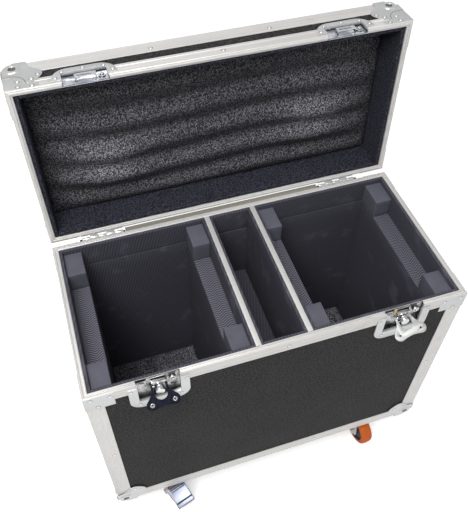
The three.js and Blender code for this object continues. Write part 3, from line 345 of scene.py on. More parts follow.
ball_radius = 0.021
ball_inset = 0.0176
ball_power = 3
ball_overlap = 0.0001
corner_sheet = 0.0013
corner_stand = 0.0016
dimple_floor = 0.0002
dimple_radius = 0.0074
dimple_lip = 0.0009
cap_radius = 0.0155
cap_foot = 0.0022
cap_step = 0.0013
cap_rings = 14
cap_back = 0.0008
cap_lift = 0.00004
well_margin = 0.003
well_floor = 0.001
ball_hole = 0.0105
web_start = 0.0005
plate_curve = 0.004


def placed(mesh, matrix):
    """Moves a whole bmesh, and turns its faces out again where the move mirrors it."""
    bmesh.ops.transform(mesh, matrix=matrix, verts=mesh.verts)
    if matrix.determinant() < 0:
        bmesh.ops.reverse_faces(mesh, faces=mesh.faces)
    return mesh


def block(low, high):
    """A plain block as a bmesh."""
    mesh = bmesh.new()
    bmesh.ops.create_cube(mesh, size=1)
    size = Vector(high) - Vector(low)
    middle = (Vector(high) + Vector(low)) / 2
    return placed(mesh, Matrix.Translation(middle) @ Matrix.Diagonal((*size, 1)))


def grown(target, *parts):
    """Joins loose bmeshes into one."""
    for part in parts:
        data = bpy.data.meshes.new("part")
        part.to_mesh(data)
        part.free()
        target.from_mesh(data)
        bpy.data.meshes.remove(data)


def turned(profile, steps=64):
    """A profile of (radius, place along X) spun about X. It is closed unless it starts on the axis."""
    mesh = bmesh.new()
    ring = [mesh.verts.new((along, 0, radius)) for radius, along in profile]
    pairs = list(zip(ring, ring[1:]))
    if profile[0][0] > 0:
        pairs.append((ring[-1], ring[0]))
    edges = [mesh.edges.new(pair) for pair in pairs]
    bmesh.ops.spin(mesh, geom=ring + edges, cent=(0, 0, 0), axis=(1, 0, 0), dvec=(0, 0, 0),
                   angle=math.tau, steps=steps, use_merge=True)
    bmesh.ops.remove_doubles(mesh, verts=mesh.verts, dist=1e-6)
    bmesh.ops.recalc_face_normals(mesh, faces=mesh.faces)
    return mesh


def trimmed(mesh, planes):
    """Cuts away what lies past each plane, given as a point and a normal, and fills the cut."""
    for point, normal in planes:
        everything = list(mesh.verts) + list(mesh.edges) + list(mesh.faces)
        cut = bmesh.ops.bisect_plane(mesh, geom=everything, plane_co=point, plane_no=normal,
                                     clear_outer=True)
        rim = [edge for edge in cut["geom_cut"] if isinstance(edge, bmesh.types.BMEdge)]
        bmesh.ops.holes_fill(mesh, edges=rim)


def on_ball(y, z):
    """How far the swollen ball stands out from a face, at y and z from its highest point."""
    left = 1 - (abs(y) / ball_radius) ** ball_power - (abs(z) / ball_radius) ** ball_power
    return ball_radius * left ** (1 / ball_power) - ball_inset


def on_cap(y, z):
    """The same for the dome round a dimple, which is pressed a little steeper."""
    foot = min(max((cap_radius - math.hypot(y, z)) / cap_foot, 0), 1)
    return min(on_ball(y, z) + cap_step * foot * foot * (3 - 2 * foot), ball_radius - ball_inset - 0.00005)


def corner_ball():
    """The eighth of a swollen ball at the corner, with a dimpled cap on each upright face."""
    mesh = bmesh.new()
    bmesh.ops.create_uvsphere(mesh, u_segments=96, v_segments=48, radius=1)
    for vert in mesh.verts:
        swell = sum(abs(part) ** ball_power for part in vert.co) ** (1 / ball_power)
        vert.co *= ball_radius / swell
        for axis in (0, 1):
            # Pushed in behind each cap, to leave room for its dimple
            beside = Vector(vert.co)
            beside[axis] = 0
            if beside.length < cap_radius - well_margin and vert.co[axis] < 0:
                vert.co[axis] = -ball_inset + well_floor
    bmesh.ops.translate(mesh, vec=(ball_inset,) * 3, verts=mesh.verts)
    past = ball_inset + ball_overlap
    trimmed(mesh, [
        ((0, 0, -corner_stand), (0, 0, -1)), ((past, 0, 0), (1, 0, 0)), ((0, past, 0), (0, 1, 0)),
        ((0, 0, past), (0, 0, 1)),
    ])
    bmesh.ops.recalc_face_normals(mesh, faces=mesh.faces)
    crest = dimple_radius + dimple_lip
    lip = on_cap(crest, 0)
    hollow = [(0, dimple_floor), (0.0046, dimple_floor), (0.0059, dimple_floor + 0.0003),
              (0.0067, lip - 0.0009), (dimple_radius, lip - 0.0002)]
    outer = [(crest + (cap_radius - crest) * ring / cap_rings, 0) for ring in range(cap_rings + 1)]
    for face_at, turn in (((0, ball_inset, ball_inset), math.pi),
                          ((ball_inset, 0, ball_inset), -math.pi / 2)):
        cap = turned([*hollow, *outer, (cap_radius - 0.0004, -cap_back), (0, -cap_back)], 56)
        for vert in cap.verts:
            beyond = math.hypot(vert.co.y, vert.co.z) > crest - 0.0001
            if beyond and vert.co.x > -cap_back / 2:
                vert.co.x = on_cap(vert.co.y, vert.co.z) + cap_lift
        # Faces deep in the dimple take the dark zinc, as painted shade.
        for face in cap.faces:
            middle = face.calc_center_median()
            if math.hypot(middle.y, middle.z) < dimple_radius - 0.0004 and middle.x > 0:
                face.material_index = 1
        grown(mesh, placed(cap, Matrix.Translation(face_at) @ Matrix.Rotation(turn, 4, "Z")))
    return mesh


def pressed(outline, curves, sheet, turn):
    """A pressed plate: an outline with some corners rounded, given the sheet's thickness."""
    mesh = bmesh.new()
    corners = [mesh.verts.new((x, y, 0)) for x, y in outline]
    mesh.faces.new(corners)
    bend = [corner for corner, curve in zip(corners, curves) if curve]
    bmesh.ops.bevel(mesh, geom=bend, affect="VERTICES", offset=max(curves), segments=5,
                    profile=0.5, material=-1)
    made = bmesh.ops.extrude_face_region(mesh, geom=mesh.faces[:])["geom"]
    raised = [part for part in made if isinstance(part, bmesh.types.BMVert)]
    bmesh.ops.translate(mesh, vec=(0, 0, sheet), verts=raised)
    bmesh.ops.recalc_face_normals(mesh, faces=mesh.faces)
    return placed(mesh, turn)


def corner_plates():
    """Three plates, each with a spike along every edge and a lobe for the rivets, and the
    webs behind the ball that close the corner."""
    skin = -corner_stand
    half = [(0.0425, skin), (0.045, 0.015), (0.065, 0.033), (0.0667, 0.0425), (0.062, 0.052)]
    other_half = [(y, x) for x, y in reversed(half)]
    hole_angles = [math.radians(angle) for angle in range(180, -91, -15)]
    round_ball = [(ball_inset + ball_hole * math.cos(angle), ball_inset + ball_hole * math.sin(angle))
                  for angle in hole_angles]
    outline = [(ball_inset, skin), *half, *other_half, (skin, ball_inset), *round_ball]
    curves = [plate_curve * curve for curve in (0, 0, 1, 0, 1, 1, 1, 1, 0, 1, 0, 0)] + [0] * len(round_ball)
    lay_front = Matrix(((1, 0, 0, 0), (0, 0, -1, skin + corner_sheet), (0, 1, 0, 0), (0, 0, 0, 1)))
    lay_side = Matrix(((0, 0, -1, skin + corner_sheet), (1, 0, 0, 0), (0, 1, 0, 0), (0, 0, 0, 1)))
    lay_flat = Matrix.Translation((0, 0, skin))
    plates = [pressed(outline, curves, corner_sheet, lay) for lay in (lay_front, lay_side, lay_flat)]
    for axis in range(3):
        low = [web_start] * 3
        low[axis] = ball_inset - corner_sheet
        plates.append(block(low, (ball_inset + ball_overlap,) * 3))
    return plates


ball_mesh = corner_ball()
ball_data = bpy.data.meshes.new("corner")
grown(ball_mesh, *corner_plates())
ball_mesh.to_mesh(ball_data)
ball_mesh.free()
rim_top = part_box("body_rim")[1].z
rim_gap = 0.0006
lid_height = 0.0825
lid_rim_low = rim_top + rim_gap
lid_top = lid_rim_low + lid_height
base_low = case_low.z

case_corners = {"front_left": (1, 1), "front_right": (-1, 1), "rear_left": (1, -1), "rear_right": (-1, -1)}
case_ends = [("base", "case_body", base_low, 1, Matrix()), ("lid", "lid", lid_top, -1, lid_open)]


def corner_frame(x, y, level, up):
    """The place of a corner, with its axes pointing into the case along x, y and up."""
    corner = (case_low.x if x > 0 else case_high.x, case_low.y if y > 0 else case_high.y, level)
    return Matrix.Translation(corner) @ Matrix.Diagonal((x, y, up, 1))


for place, (x, y) in case_corners.items():
    for part, body, level, up, lean in case_ends:
        mesh = bmesh.new()
        mesh.from_mesh(ball_data)
        placed(mesh, lean @ corner_frame(x, y, level, up))
        name = f"{part}_ball_corner_{place}"
        soften(piece("pressed_" + name, mesh, [zinc, dimple], body, "zinc", name), 0.0003)


# Joints between the sheets: the edge of a brace or of an angle's rounded end, where it lies against a
# corner plate. Each is a thin dark line of painted shade, for the shadow in the gap there, made of short
# flats along its bends.
# A near-black finish of painted shade, for the joint lines, the blocks at the hinge ends and the strips on
# the brake pedals.
groove_shade_tones = ((16, 17, 20), (44, 46, 52))
groove = finish("groove_shade", speckled(300, 3, groove_shade_tones, 0, (0.4, 0.55), 0.0001))
joint_half = 0.0004
joint_lap = 0.0002
joint_proud = 0.00012
joint_depth = 0.0004
joint_paths = {
    "base": [(0.004, 0.045), (0.022, 0.046), (0.03, 0.051), (0.033, 0.059)],
    "lid": [(0.001, 0.041), (0.015, 0.041), (0.023, 0.0435), (0.03, 0.049), (0.0345, 0.057),
            (0.036, 0.066)],
}
round_the_end = Matrix(((0, 1, 0, 0), (1, 0, 0, 0), (0, 0, 1, 0), (0, 0, 0, 1)))
for part, body, level, up, lean in case_ends:
    mesh = bmesh.new()
    path = joint_paths[part]
    for x, y in case_corners.values():
        for face_turn in (Matrix(), round_the_end):
            for (a, b), (c, d) in zip(path, path[1:]):
                line = block((-joint_lap, -corner_stand - joint_proud, -joint_half),
                             (math.hypot(c - a, d - b) + joint_lap, joint_depth - corner_stand, joint_half))
                lay = Matrix.Translation((a, 0, b)) @ Matrix.Rotation(-math.atan2(d - b, c - a), 4, "Y")
                grown(mesh, placed(line, corner_frame(x, y, level, up) @ face_turn @ lay))
    piece("sheet_joint_shade_" + part, placed(mesh, lean), groove, body, "zinc")


# Rivets: bright domed heads with a small pit where the mandrel broke off, set through the corners, braces,
# latch dishes and extrusions on the front, the ends and the back. A thin dark ring of painted shade runs
# round the foot of each.
rivet_radius = 0.0039
rivet_height = 0.0011
small_rivet = 0.0032
rivet_profile = [(0, 0.4), (0.26, 0.4), (0.38, 0.96), (0.64, 0.86), (0.84, 0.55), (0.92, 0.1),
                 (1.14, 0.06), (1.14, -0.2), (0, -0.2)]
rivet_shade = 0.94
rivet_tones = ((214, 216, 220), (242, 242, 242))
rivet_look = finish("rivet_steel", speckled(300, 2, rivet_tones, 0.75, (0.2, 0.3), 0.00004))


def turn_to(out):
    """The turn that brings a shape spun about X to face out."""
    return Vector(out).to_track_quat("X", "Z").to_matrix().to_4x4()


def rivet(target, point, out, radius=rivet_radius):
    """Adds one rivet head that stands on point and faces out."""
    mesh = turned([(r * radius, h * rivet_height) for r, h in rivet_profile], 12)
    # The ring round the foot takes the dark zinc, as painted shade.
    for face in mesh.faces:
        middle = face.calc_center_median()
        if math.hypot(middle.y, middle.z) > radius * rivet_shade:
            face.material_index = 1
    grown(target, placed(mesh, Matrix.Translation(point) @ turn_to(out)))


latch_x = 0.242
front_y = case_low.y
back_y = case_high.y
middle_y = (front_y + back_y) / 2
body_rivets = bmesh.new()
lid_rivets = bmesh.new()
brace_stand = 0.0012
dish_stand = 0.0015
rim_line = 0.0135
base_angle_line = 0.017
lid_angle_line = 0.021
rim_rivet_x = 0.005
angle_rivets_x = (-0.116, 0.11)
for x in (-1, 1):
    for y, wall in ((-1, front_y), (1, back_y)):
        end = case_high.x * x
        # Base corners, upright angles and rim braces, on the long face and then round the end
        long_face = [(0.041, 0.055, corner_stand), (0.053, 0.044, corner_stand), (0.022, 0.259, 0),
                     (0.022, 0.475, brace_stand), (0.046, 0.5, brace_stand), (0.012, 0.502, brace_stand)]
        for reach, height, stand in long_face:
            rivet(body_rivets, (end - x * reach, wall + y * stand, base_low + height), (0, y, 0))
            rivet(body_rivets, (end + x * stand, wall - y * reach, base_low + height), (x, 0, 0))
        # Lid corners, with the brace's rivets under them
        lid_face = [(0.046, 0.056, corner_stand), (0.058, 0.045, corner_stand),
                    (0.0226, 0.0585, brace_stand), (0.022, 0.0745, brace_stand),
                    (0.045, 0.0765, brace_stand)]
        for reach, drop, stand in lid_face:
            rivet(lid_rivets, (end - x * reach, wall + y * stand, lid_top - drop), (0, y, 0))
            rivet(lid_rivets, (end + x * stand, wall - y * reach, lid_top - drop), (x, 0, 0))
        for reach, other in ((0.041, 0.055), (0.055, 0.041)):
            rivet(lid_rivets, (end - x * reach, wall - y * other, lid_top + corner_stand), (0, 0, 1))
for y, wall in ((-1, front_y), (1, back_y)):
    for x in angle_rivets_x:
        rivet(body_rivets, (x, wall, base_low + base_angle_line), (0, y, 0))
        rivet(lid_rivets, (x, wall, lid_top - lid_angle_line), (0, y, 0))
    rivet(body_rivets, (rim_rivet_x, wall, rim_top - rim_line), (0, y, 0))
    rivet(lid_rivets, (rim_rivet_x, wall, lid_rim_low + rim_line), (0, y, 0))
for x in (-1, 1):
    rivet(body_rivets, (case_high.x * x, middle_y, rim_top - rim_line), (x, 0, 0))
    rivet(lid_rivets, (case_high.x * x, middle_y, lid_top - lid_angle_line), (x, 0, 0))
    for reach, drop in ((-0.051, 0.019), (0.051, 0.019), (-0.039, 0.07), (0.039, 0.07)):
        spot = (x * latch_x + reach, front_y - dish_stand, rim_top - drop)
        rivet(body_rivets, spot, (0, -1, 0), small_rivet)
    for reach, rise in ((0, 0.034), (-0.036, 0.031), (0.036, 0.031), (-0.049, 0.014), (0.049, 0.014)):
        spot = (x * latch_x + reach, front_y - dish_stand, lid_rim_low + rise)
        rivet(lid_rivets, spot, (0, -1, 0), small_rivet)
placed(lid_rivets, lid_open)
for name, mesh, body in (("body_rivets", body_rivets, "case_body"), ("lid_rivets", lid_rivets, "lid")):
    smoothed(piece(name, mesh, [rivet_look, dimple], body, "zinc"))


# Latches: pressed dishes with eyes and domes, a turned spindle, the butterfly key and the hook
# that it lifts. The left key is smoked nearly black with bright eyelets, the rest bright zinc.
def smoked_paint(at):
    grain = at.grain(700, 3)
    cloud = at.grain(120, 3)
    worn = grain.between(0.58, 0.7) * cloud.between(0.4, 0.6)
    ground = cloud.blend(tone(14, 17, 27), tone(34, 41, 60))
    return {
        "Base Color": (worn * 0.5).blend(ground, tone(104, 114, 140)),
        "Metallic": 0.7,
        "Roughness": 0.26 + grain * 0.16,
        "Normal": grain.bump(0.00008, 0.5),
    }


def recessed(set_back, reflection_dark, reflection_light, shade):
    """Paint for a dish: satin on its flange, and mirror-like in its hollow, with painted reflections
    streaked from a dark tone to a light one, and painted shade, the tone shade, on the hollow's walls.
    """
    inward = set_back.to_3x3()[1]

    def paint(at):
        depth = at.dot(inward) - (case_low.y - set_back.translation.y)
        down = depth.between(-0.0004, 0.007)
        smear = at.grain(34)
        # Streaks from the dark tone to the light one are painted reflections.
        reflection_streak = smear.between(0.36, 0.62)
        flange = smear.blend(tone(190, 191, 191), tone(214, 215, 215))
        facing = at.node("TexCoord", {}, {}, "Normal").dot(inward)
        # The walls of the hollow take the tone shade, as painted shade.
        wall = at.math("ABSOLUTE", facing).between(0.85, 0.35)
        hollow = wall.blend(reflection_streak.blend(reflection_dark, reflection_light), shade)
        return {
            "Base Color": down.blend(flange, hollow),
            "Metallic": 0.6 + down * 0.2,
            "Roughness": 0.32 - down * 0.17,
            "Normal": smear.bump(0.00006, 0.4),
        }
    return paint


# The right key's zinc is painted darker than the rest, as shade against the strong light it catches.
key_shade_tones = ((144, 145, 143), (172, 173, 171))
bright_tones = ((204, 206, 210), (236, 236, 234))
smoked = finish("smoked_chrome", smoked_paint)
key_zinc = finish("matt_zinc_shaded", speckled(600, 3, key_shade_tones, 0.4, (0.4, 0.5), 0.00006))
bright = finish("bright_zinc", speckled(60, 4, bright_tones, 1, (0.13, 0.23), 0.0001, 0.5))
# Dish tones: dark and light painted reflections, then painted shade for the walls.
dish_paint = recessed(Matrix(), tone(50, 48, 47), tone(186, 185, 186), tone(22, 22, 23))
dish_look = finish("latch_dish_zinc", dish_paint)
keeper_paint = recessed(lid_open.inverted(), tone(178, 182, 196), tone(240, 242, 248), tone(44, 46, 56))
keeper_look = finish("keeper_dish_zinc", keeper_paint)

for side in ("left", "right"):
    worked("latch_dish_" + side, dish_look, "zinc", 0.00035)
    worked("keeper_dish_" + side, keeper_look, "zinc", 0.00035)
    worked("latch_hook_" + side, bright, "zinc", 0.0003)
    worked("latch_spindle_" + side, bright, "zinc", 0.0006, 3)
worked("latch_key_left", smoked, "dark_zinc", 0.0006, 3)
worked("latch_key_right", key_zinc, "zinc", 0.0006, 3)

left_fold = next(joint for joint in frame["joints"] if joint["name"] == "latch_key_fold_left")
key_hole_x = 0.021
key_hole_drop = 0.0346
key_stand = 0.0012
key_lean = math.radians(-4)
key_fold = math.radians(-38)
key_set = (Matrix.Translation(left_fold["pos_m"]) @ Matrix.Rotation(key_lean, 4, "Y")
           @ Matrix.Rotation(key_fold, 4, "X"))
half_eyelet = [(0.0021, 0.0019), (0.0041, 0.0019), (0.0046, key_stand)]


def both_sides(half, *middle):
    """A profile from its half with a place above 0, mirrored to the places below."""
    return [(radius, -along) for radius, along in half] + [*middle] + half[::-1]


mesh = bmesh.new()
for side in (-1, 1):
    hole = Matrix.Translation((side * key_hole_x, 0, -key_hole_drop)) @ Matrix.Rotation(math.pi / 2, 4, "Z")
    grown(mesh, placed(turned(both_sides(half_eyelet), 32), hole))
soften(piece("key_eyelets", placed(mesh, key_set), bright, "latch_key_left", "zinc"), 0.0002)


# Hinges: steel leaves riveted to the back, with rolled knuckles on one pin. At each end of the pin a small
# black block of painted shade stands in the cut in the rim, for the shade in that cut.
shade_block_width = 0.0046
shade_block_reach = 0.0048
shade_block_top = 0.0008
shade_block_foot = 0.0056
let_in = 0.0004


def eased_block(low, high, width, segments=2):
    """A plain block with every edge rounded by width."""
    mesh = block(low, high)
    bmesh.ops.bevel(mesh, geom=mesh.edges, affect="EDGES", offset=width, segments=segments,
                    profile=0.5, material=-1)
    return mesh


for side in ("left", "right"):
    worked("hinge_base_leaf_" + side, zinc, "zinc", 0.0003)
    worked("hinge_lid_leaf_" + side, zinc, "zinc", 0.0003)
    leaf_low, leaf_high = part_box("hinge_base_leaf_" + side)
    for end, left in (("left", leaf_low.x - shade_block_width), ("right", leaf_high.x)):
        # A dark block at this end of the pin: painted shade for the cut in the rim.
        mesh = eased_block((left, back_y - let_in, rim_top - shade_block_foot),
                           (left + shade_block_width, back_y + shade_block_reach, rim_top - shade_block_top), 0.0004)
        piece(f"hinge_cut_shade_{side}_{end}", mesh, groove, "case_body", "dark_zinc")


# A flat of dull aluminium on the back of the body, from hinge to hinge, under the gap that opens behind the
# rim, painted dark grey as shade: it stands in for the shaded gap seen there.
def gap_shade_paint(at):
    line = at.laid((3, 300, 300)).grain(1)
    return {
        # Painted shade: dark grey tones for the shade under the open lid.
        "Base Color": line.blend(tone(104, 101, 92), tone(152, 149, 138)),
        "Metallic": 0.3,
        "Roughness": 0.5 + line * 0.2,
        "Normal": line.bump(0.00006, 0.4),
    }


shade_strip_play = 0.0006
shade_strip_reach = 0.0115
shade_strip_top = 0.0011
shade_strip_sheet = 0.0015
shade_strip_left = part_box("hinge_base_leaf_left")[1].x + shade_block_width + shade_strip_play
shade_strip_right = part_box("hinge_base_leaf_right")[0].x - shade_block_width - shade_strip_play
mesh = eased_block((shade_strip_left, back_y - let_in, rim_top - shade_strip_top - shade_strip_sheet),
                   (shade_strip_right, back_y + shade_strip_reach, rim_top - shade_strip_top), 0.0003)
piece("gap_shade_strip", mesh, finish("gap_shade_aluminium", gap_shade_paint), "case_body", "aluminium")


# Lining: black foam sheet pressed with a fine woven face, glued to the walls in panels, with
# an open seam near the top of the back wall. The divider boards are faced with the same.
def weave_paint(at):
    fine = at.grain(1400)
    cloud = at.grain(16, 4)
    slanted = at.laid((1, 1, 1), (0.785, 0.785, 0.785))
    warp = at.node("TexWave", {"bands_direction": "X"}, {"Vector": slanted, "Scale": 95})
    weft = at.node("TexWave", {"bands_direction": "Y"}, {"Vector": slanted, "Scale": 95})
    weave = warp * weft
    rubbed = cloud.between(0.56, 0.7)
    ground = (weave * 0.6 + fine * 0.4).blend(tone(31, 31, 39), tone(92, 91, 104))
    return {
        "Base Color": (rubbed * 0.25).blend(ground, tone(112, 112, 124)),
        "Roughness": 0.72 + fine * 0.16,
        "Normal": (weave * 0.7 + fine * 0.3).bump(0.0003, 0.6),
        "Specular IOR Level": 0.4,
    }


lining = finish("woven_lining", weave_paint)
panel_cell = 0.03
panel_lumps = 18
# The same lumps on every run
noise.seed_set(5)


def padded(name, low, high, look, slot, *replaced, soft, wander, fill):
    """A foam panel: a block with soft edges whose faces wander a little, as cut foam does."""
    mesh = eased_block(low, high, soft, 3)
    cuts = max(int(max(Vector(high) - Vector(low)) / panel_cell), 3)
    long_edges = [edge for edge in mesh.edges if edge.calc_length() > panel_cell]
    bmesh.ops.subdivide_edges(mesh, edges=long_edges, cuts=cuts, use_grid_fill=True)
    for vert in mesh.verts:
        vert.co += wander * noise.noise_vector(vert.co * panel_lumps)
    smoothed(piece(name, mesh, look, "case_body", slot, *replaced))


wall_low, wall_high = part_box("wall_lining")
lining_sheet = 0.006
seam_drop = 0.058
seam_gap = 0.0009
seam_step = 0.0003
cap_play = 0.0004
seam_top = wall_high.z - seam_drop
bay_low = Vector((wall_low.x + lining_sheet, wall_low.y + lining_sheet, wall_low.z))
bay_high = Vector((wall_high.x - lining_sheet, wall_high.y - lining_sheet, wall_high.z))
lining_parts = [
    ("lining_left_wall", (wall_low.x, bay_low.y, wall_low.z), (bay_low.x, bay_high.y, wall_high.z)),
    ("lining_right_wall", (bay_high.x, bay_low.y, wall_low.z), (wall_high.x, bay_high.y, wall_high.z)),
]
caps = [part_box("divider_cap_left"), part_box("divider_cap_right")]
spans = {
    "left": (wall_low.x, caps[0][0].x),
    "middle": (caps[0][1].x, caps[1][0].x),
    "right": (caps[1][1].x, wall_high.x),
}
for bay, (left, right) in spans.items():
    lining_parts += [
        (f"lining_front_{bay}", (left, wall_low.y, wall_low.z), (right, bay_low.y, wall_high.z)),
        (f"lining_back_{bay}", (left, bay_high.y, wall_low.z), (right, wall_high.y, seam_top)),
        (f"lining_back_top_{bay}", (left, bay_high.y + seam_step, seam_top + seam_gap),
         (right, wall_high.y, wall_high.z)),
    ]
for name, low, high in lining_parts:
    replaced = ["wall_lining"] if name == "lining_left_wall" else []
    padded(name, low, high, lining, "lining", *replaced, soft=0.0012, wander=0.0004, fill=0.9)
for side in ("left", "right"):
    low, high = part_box("divider_" + side)
    cap_low, cap_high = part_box("divider_cap_" + side)
    facings = [("outer", low.x, cap_low.x - cap_play), ("inner", cap_high.x + cap_play, high.x)]
    for part, left, right in facings:
        replaced = ["divider_" + side] if part == "outer" else []
        padded(f"divider_facing_{side}_{part}", (left, low.y, low.z), (right, high.y, high.z),
               lining, "lining", *replaced, soft=0.001, wander=0.0003, fill=0.9)


# Divider boards: bare plywood between the facings, let into the caps and glued. A sliver of the
# same plywood, the cut edge of the front board, shows in the well of the right latch.
def plywood_paint(at):
    grain = at.laid((6, 60, 400)).grain(1, 4)
    return {
        "Base Color": grain.blend(tone(176, 140, 92), tone(222, 194, 140)),
        "Roughness": 0.6 + grain * 0.2,
        "Normal": grain.bump(0.0002, 0.5),
    }


plywood = finish("bare_plywood", plywood_paint)
board_play = 0.0016
board_tongue = 0.009
sliver = Vector((0.0072, 0.0016, 0.0135))
sliver_left = 0.0205
sliver_depth = 0.0068
sliver_foot = 0.0165
for side in ("left", "right"):
    low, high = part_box("divider_" + side)
    cap_low, cap_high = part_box("divider_cap_" + side)
    mesh = eased_block((cap_low.x + board_play, low.y, low.z),
                       (cap_high.x - board_play, high.y, cap_low.z + board_tongue), 0.0004)
    piece("divider_board_" + side, mesh, plywood, "case_body", "plywood")
dish_low, dish_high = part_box("latch_dish_right")
dish_x = (dish_low.x + dish_high.x) / 2
well_low = Vector((dish_x - sliver_left, case_low.y + sliver_depth, rim_top - sliver_foot))
mesh = eased_block(well_low, well_low + sliver, 0.0004)
piece("plywood_in_right_latch_well", mesh, plywood, "case_body", "plywood")


# Cradles: dense closed-cell foam, full height at both ends of each bay, with a block cut at
# the front and the back. Between the blocks the top is faced with a herringbone-pressed sheet.
def cradle_paint(at):
    cell = at.grain(1100, 3)
    cloud = at.grain(40, 4)
    return {
        "Base Color": (cell * 0.6 + cloud * 0.4).blend(tone(54, 54, 62), tone(102, 102, 114)),
        "Roughness": 0.8 + cell * 0.12,
        "Normal": cell.bump(0.00018, 0.6),
        "Specular IOR Level": 0.3,
    }


column_width = 0.0125
rib_pitch = 0.0052
rib_lean = 1.6


def herringbone_paint(at):
    """Slanted ribs whose lean changes from one narrow column to the next, painted dark between the ribs as
    shade.
    """
    column = at.math("PINGPONG", at.part(0) / column_width, 1)
    rib = at.math("FRACT", at.part(1) / rib_pitch + column * rib_lean)
    ridge = at.math("ABSOLUTE", rib - 0.5) * 2
    fine = at.grain(1500)
    shade = ridge.between(0.2, 0.8) * 0.85 + fine * 0.15
    return {
        "Base Color": shade.blend(tone(18, 18, 23), tone(106, 105, 118)),
        "Roughness": 0.62 + fine * 0.16,
        "Normal": ridge.bump(0.0006, 0.8),
        "Specular IOR Level": 0.45,
    }


cradle_foam = finish("cradle_foam", cradle_paint)
herringbone = finish("herringbone_foam", herringbone_paint)
cradle_step = 0.044
cradle_block = 0.058
facing_sheet = 0.003
block_play = 0.0003
saddle_play = 0.0004
block_lift = 0.0002
for name in ("left_outer", "left_inner", "right_inner", "right_outer"):
    low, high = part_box("foam_cradle_" + name)
    step = high.z - cradle_step
    slab_top = step - facing_sheet
    front, back = low.y + cradle_block - block_play, high.y - cradle_block + block_play
    padded("cradle_" + name, low, (high.x, high.y, slab_top), lining, "lining", "foam_cradle_" + name,
           soft=0.002, wander=0.0005, fill=0.9)
    padded("cradle_saddle_" + name, (low.x, front + saddle_play, slab_top),
           (high.x, back - saddle_play, step), herringbone, "foam", soft=0.0013, wander=0.0003, fill=0.9)
    for part, near, away in (("front", low.y, front), ("back", back, high.y)):
        padded(f"cradle_block_{part}_{name}", (low.x, near, slab_top + block_lift), (high.x, away, high.z),
               cradle_foam, "foam", soft=0.0016, wander=0.0006, fill=0.95)


# Floor pads: furry open foam on the floor of the two big bays, painted lighter towards the right and
# mottled, as painted light. The middle bay has a shelf faced with the lining.
fibre_leans = ((0.4, 0.2, 0.7), (-0.5, 0.9, -0.3), (0.9, -0.6, 1.9), (-1.1, 0.3, -1.2))


def furry_paint(dark, light, tips):
    """Paint for furry foam: dark roots, a lighter lie of the pile, and bright broken tips, pale fibre and
    painted glint both. The attribute nap holds painted light: where it is high the pile is painted lighter
    and the tips brighter."""
    def paint(at):
        painted_light = at.node("Attribute", {"attribute_name": "painted_light"}, {}, 2)
        strands = [at.laid((640, 1350, 1350), lean).grain(1, 1) for lean in fibre_leans]
        pairs = at.math("MAXIMUM", *strands[:2]), at.math("MAXIMUM", *strands[2:])
        fibre = at.math("MAXIMUM", *pairs)
        tuft = at.grain(300)
        lie = at.grain(10, 3)
        tip = fibre.between(0.59, 0.7) * tuft.between(0.38, 0.6)
        ground = (lie * 0.3 + tuft * 0.4 + painted_light * 0.5).blend(dark, light)
        return {
            "Base Color": (tip * (0.36 + painted_light * 0.64)).blend(ground, tips),
            "Roughness": 0.85,
            "Normal": (fibre * 0.6 + tuft * 0.4).bump(0.0024, 0.9),
            "Specular IOR Level": 0.2,
        }
    return paint


furry = finish("furry_foam", furry_paint(tone(9, 9, 12), tone(54, 54, 58), tone(208, 207, 216)))
furry_cool = finish("furry_strips", furry_paint(tone(12, 12, 17), tone(36, 37, 48), tone(146, 148, 172)))
pad_edge = 0.008
pad_round = 0.006
pile_height = 0.0016
pile_sink = 0.0022


def skirted(mesh, level):
    """Closes a sheet into a body: its rim drops straight to level, and one face shuts it."""
    rim = [edge for edge in mesh.edges if edge.is_boundary]
    for part in bmesh.ops.extrude_edge_only(mesh, edges=rim)["geom"]:
        if isinstance(part, bmesh.types.BMVert):
            part.co.z = level
    bmesh.ops.holes_fill(mesh, edges=[edge for edge in mesh.edges if edge.is_boundary])
    bmesh.ops.recalc_face_normals(mesh, faces=mesh.faces)


for side in ("left", "right"):
    low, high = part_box("floor_pad_" + side)
    mesh = bmesh.new()
    bmesh.ops.create_grid(mesh, x_segments=110, y_segments=160, size=0.5)
    pad_middle = Matrix.Translation(((low.x + high.x) / 2, (low.y + high.y) / 2, high.z))
    placed(mesh, pad_middle @ Matrix.Diagonal((high.x - low.x, high.y - low.y, 1, 1)))
    painted_light = mesh.verts.layers.float.new("painted_light")
    for vert in mesh.verts:
        # Painted light: the pad is painted lighter towards the right, and mottled.
        light_ramp = 1.1 * (vert.co.x - low.x) / (high.x - low.x) - 0.2
        vert[painted_light] = min(max(light_ramp + noise.noise(vert.co * 30) * 0.35, 0), 1)
        inset = min(vert.co.x - low.x, high.x - vert.co.x, vert.co.y - low.y, high.y - vert.co.y)
        round_off = max(0, 1 - inset / pad_edge) ** 2 * pad_round
        pile = pile_height * noise.fractal(vert.co * 160, 1, 2, 3) - pile_sink
        vert.co.z += pile - round_off
    skirted(mesh, low.z)
    pad = smoothed(piece("furry_pad_" + side, mesh, furry, "case_body", "fuzzy", "floor_pad_" + side))
low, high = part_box("middle_shelf")
shelf_board = 0.01
shelf_leg = 0.012
shelf_let_in = 0.0005
padded("shelf_top", (low.x, low.y, high.z - shelf_board), high, lining, "lining", "middle_shelf",
       soft=0.0012, wander=0.0004, fill=0.9)
for part, near, away in (("front", low.y, low.y + shelf_leg), ("back", high.y - shelf_leg, high.y)):
    padded("shelf_leg_" + part, (low.x, near, low.z), (high.x, away, high.z - shelf_board + shelf_let_in),
           lining, "lining", soft=0.001, wander=0.0003, fill=0.9)


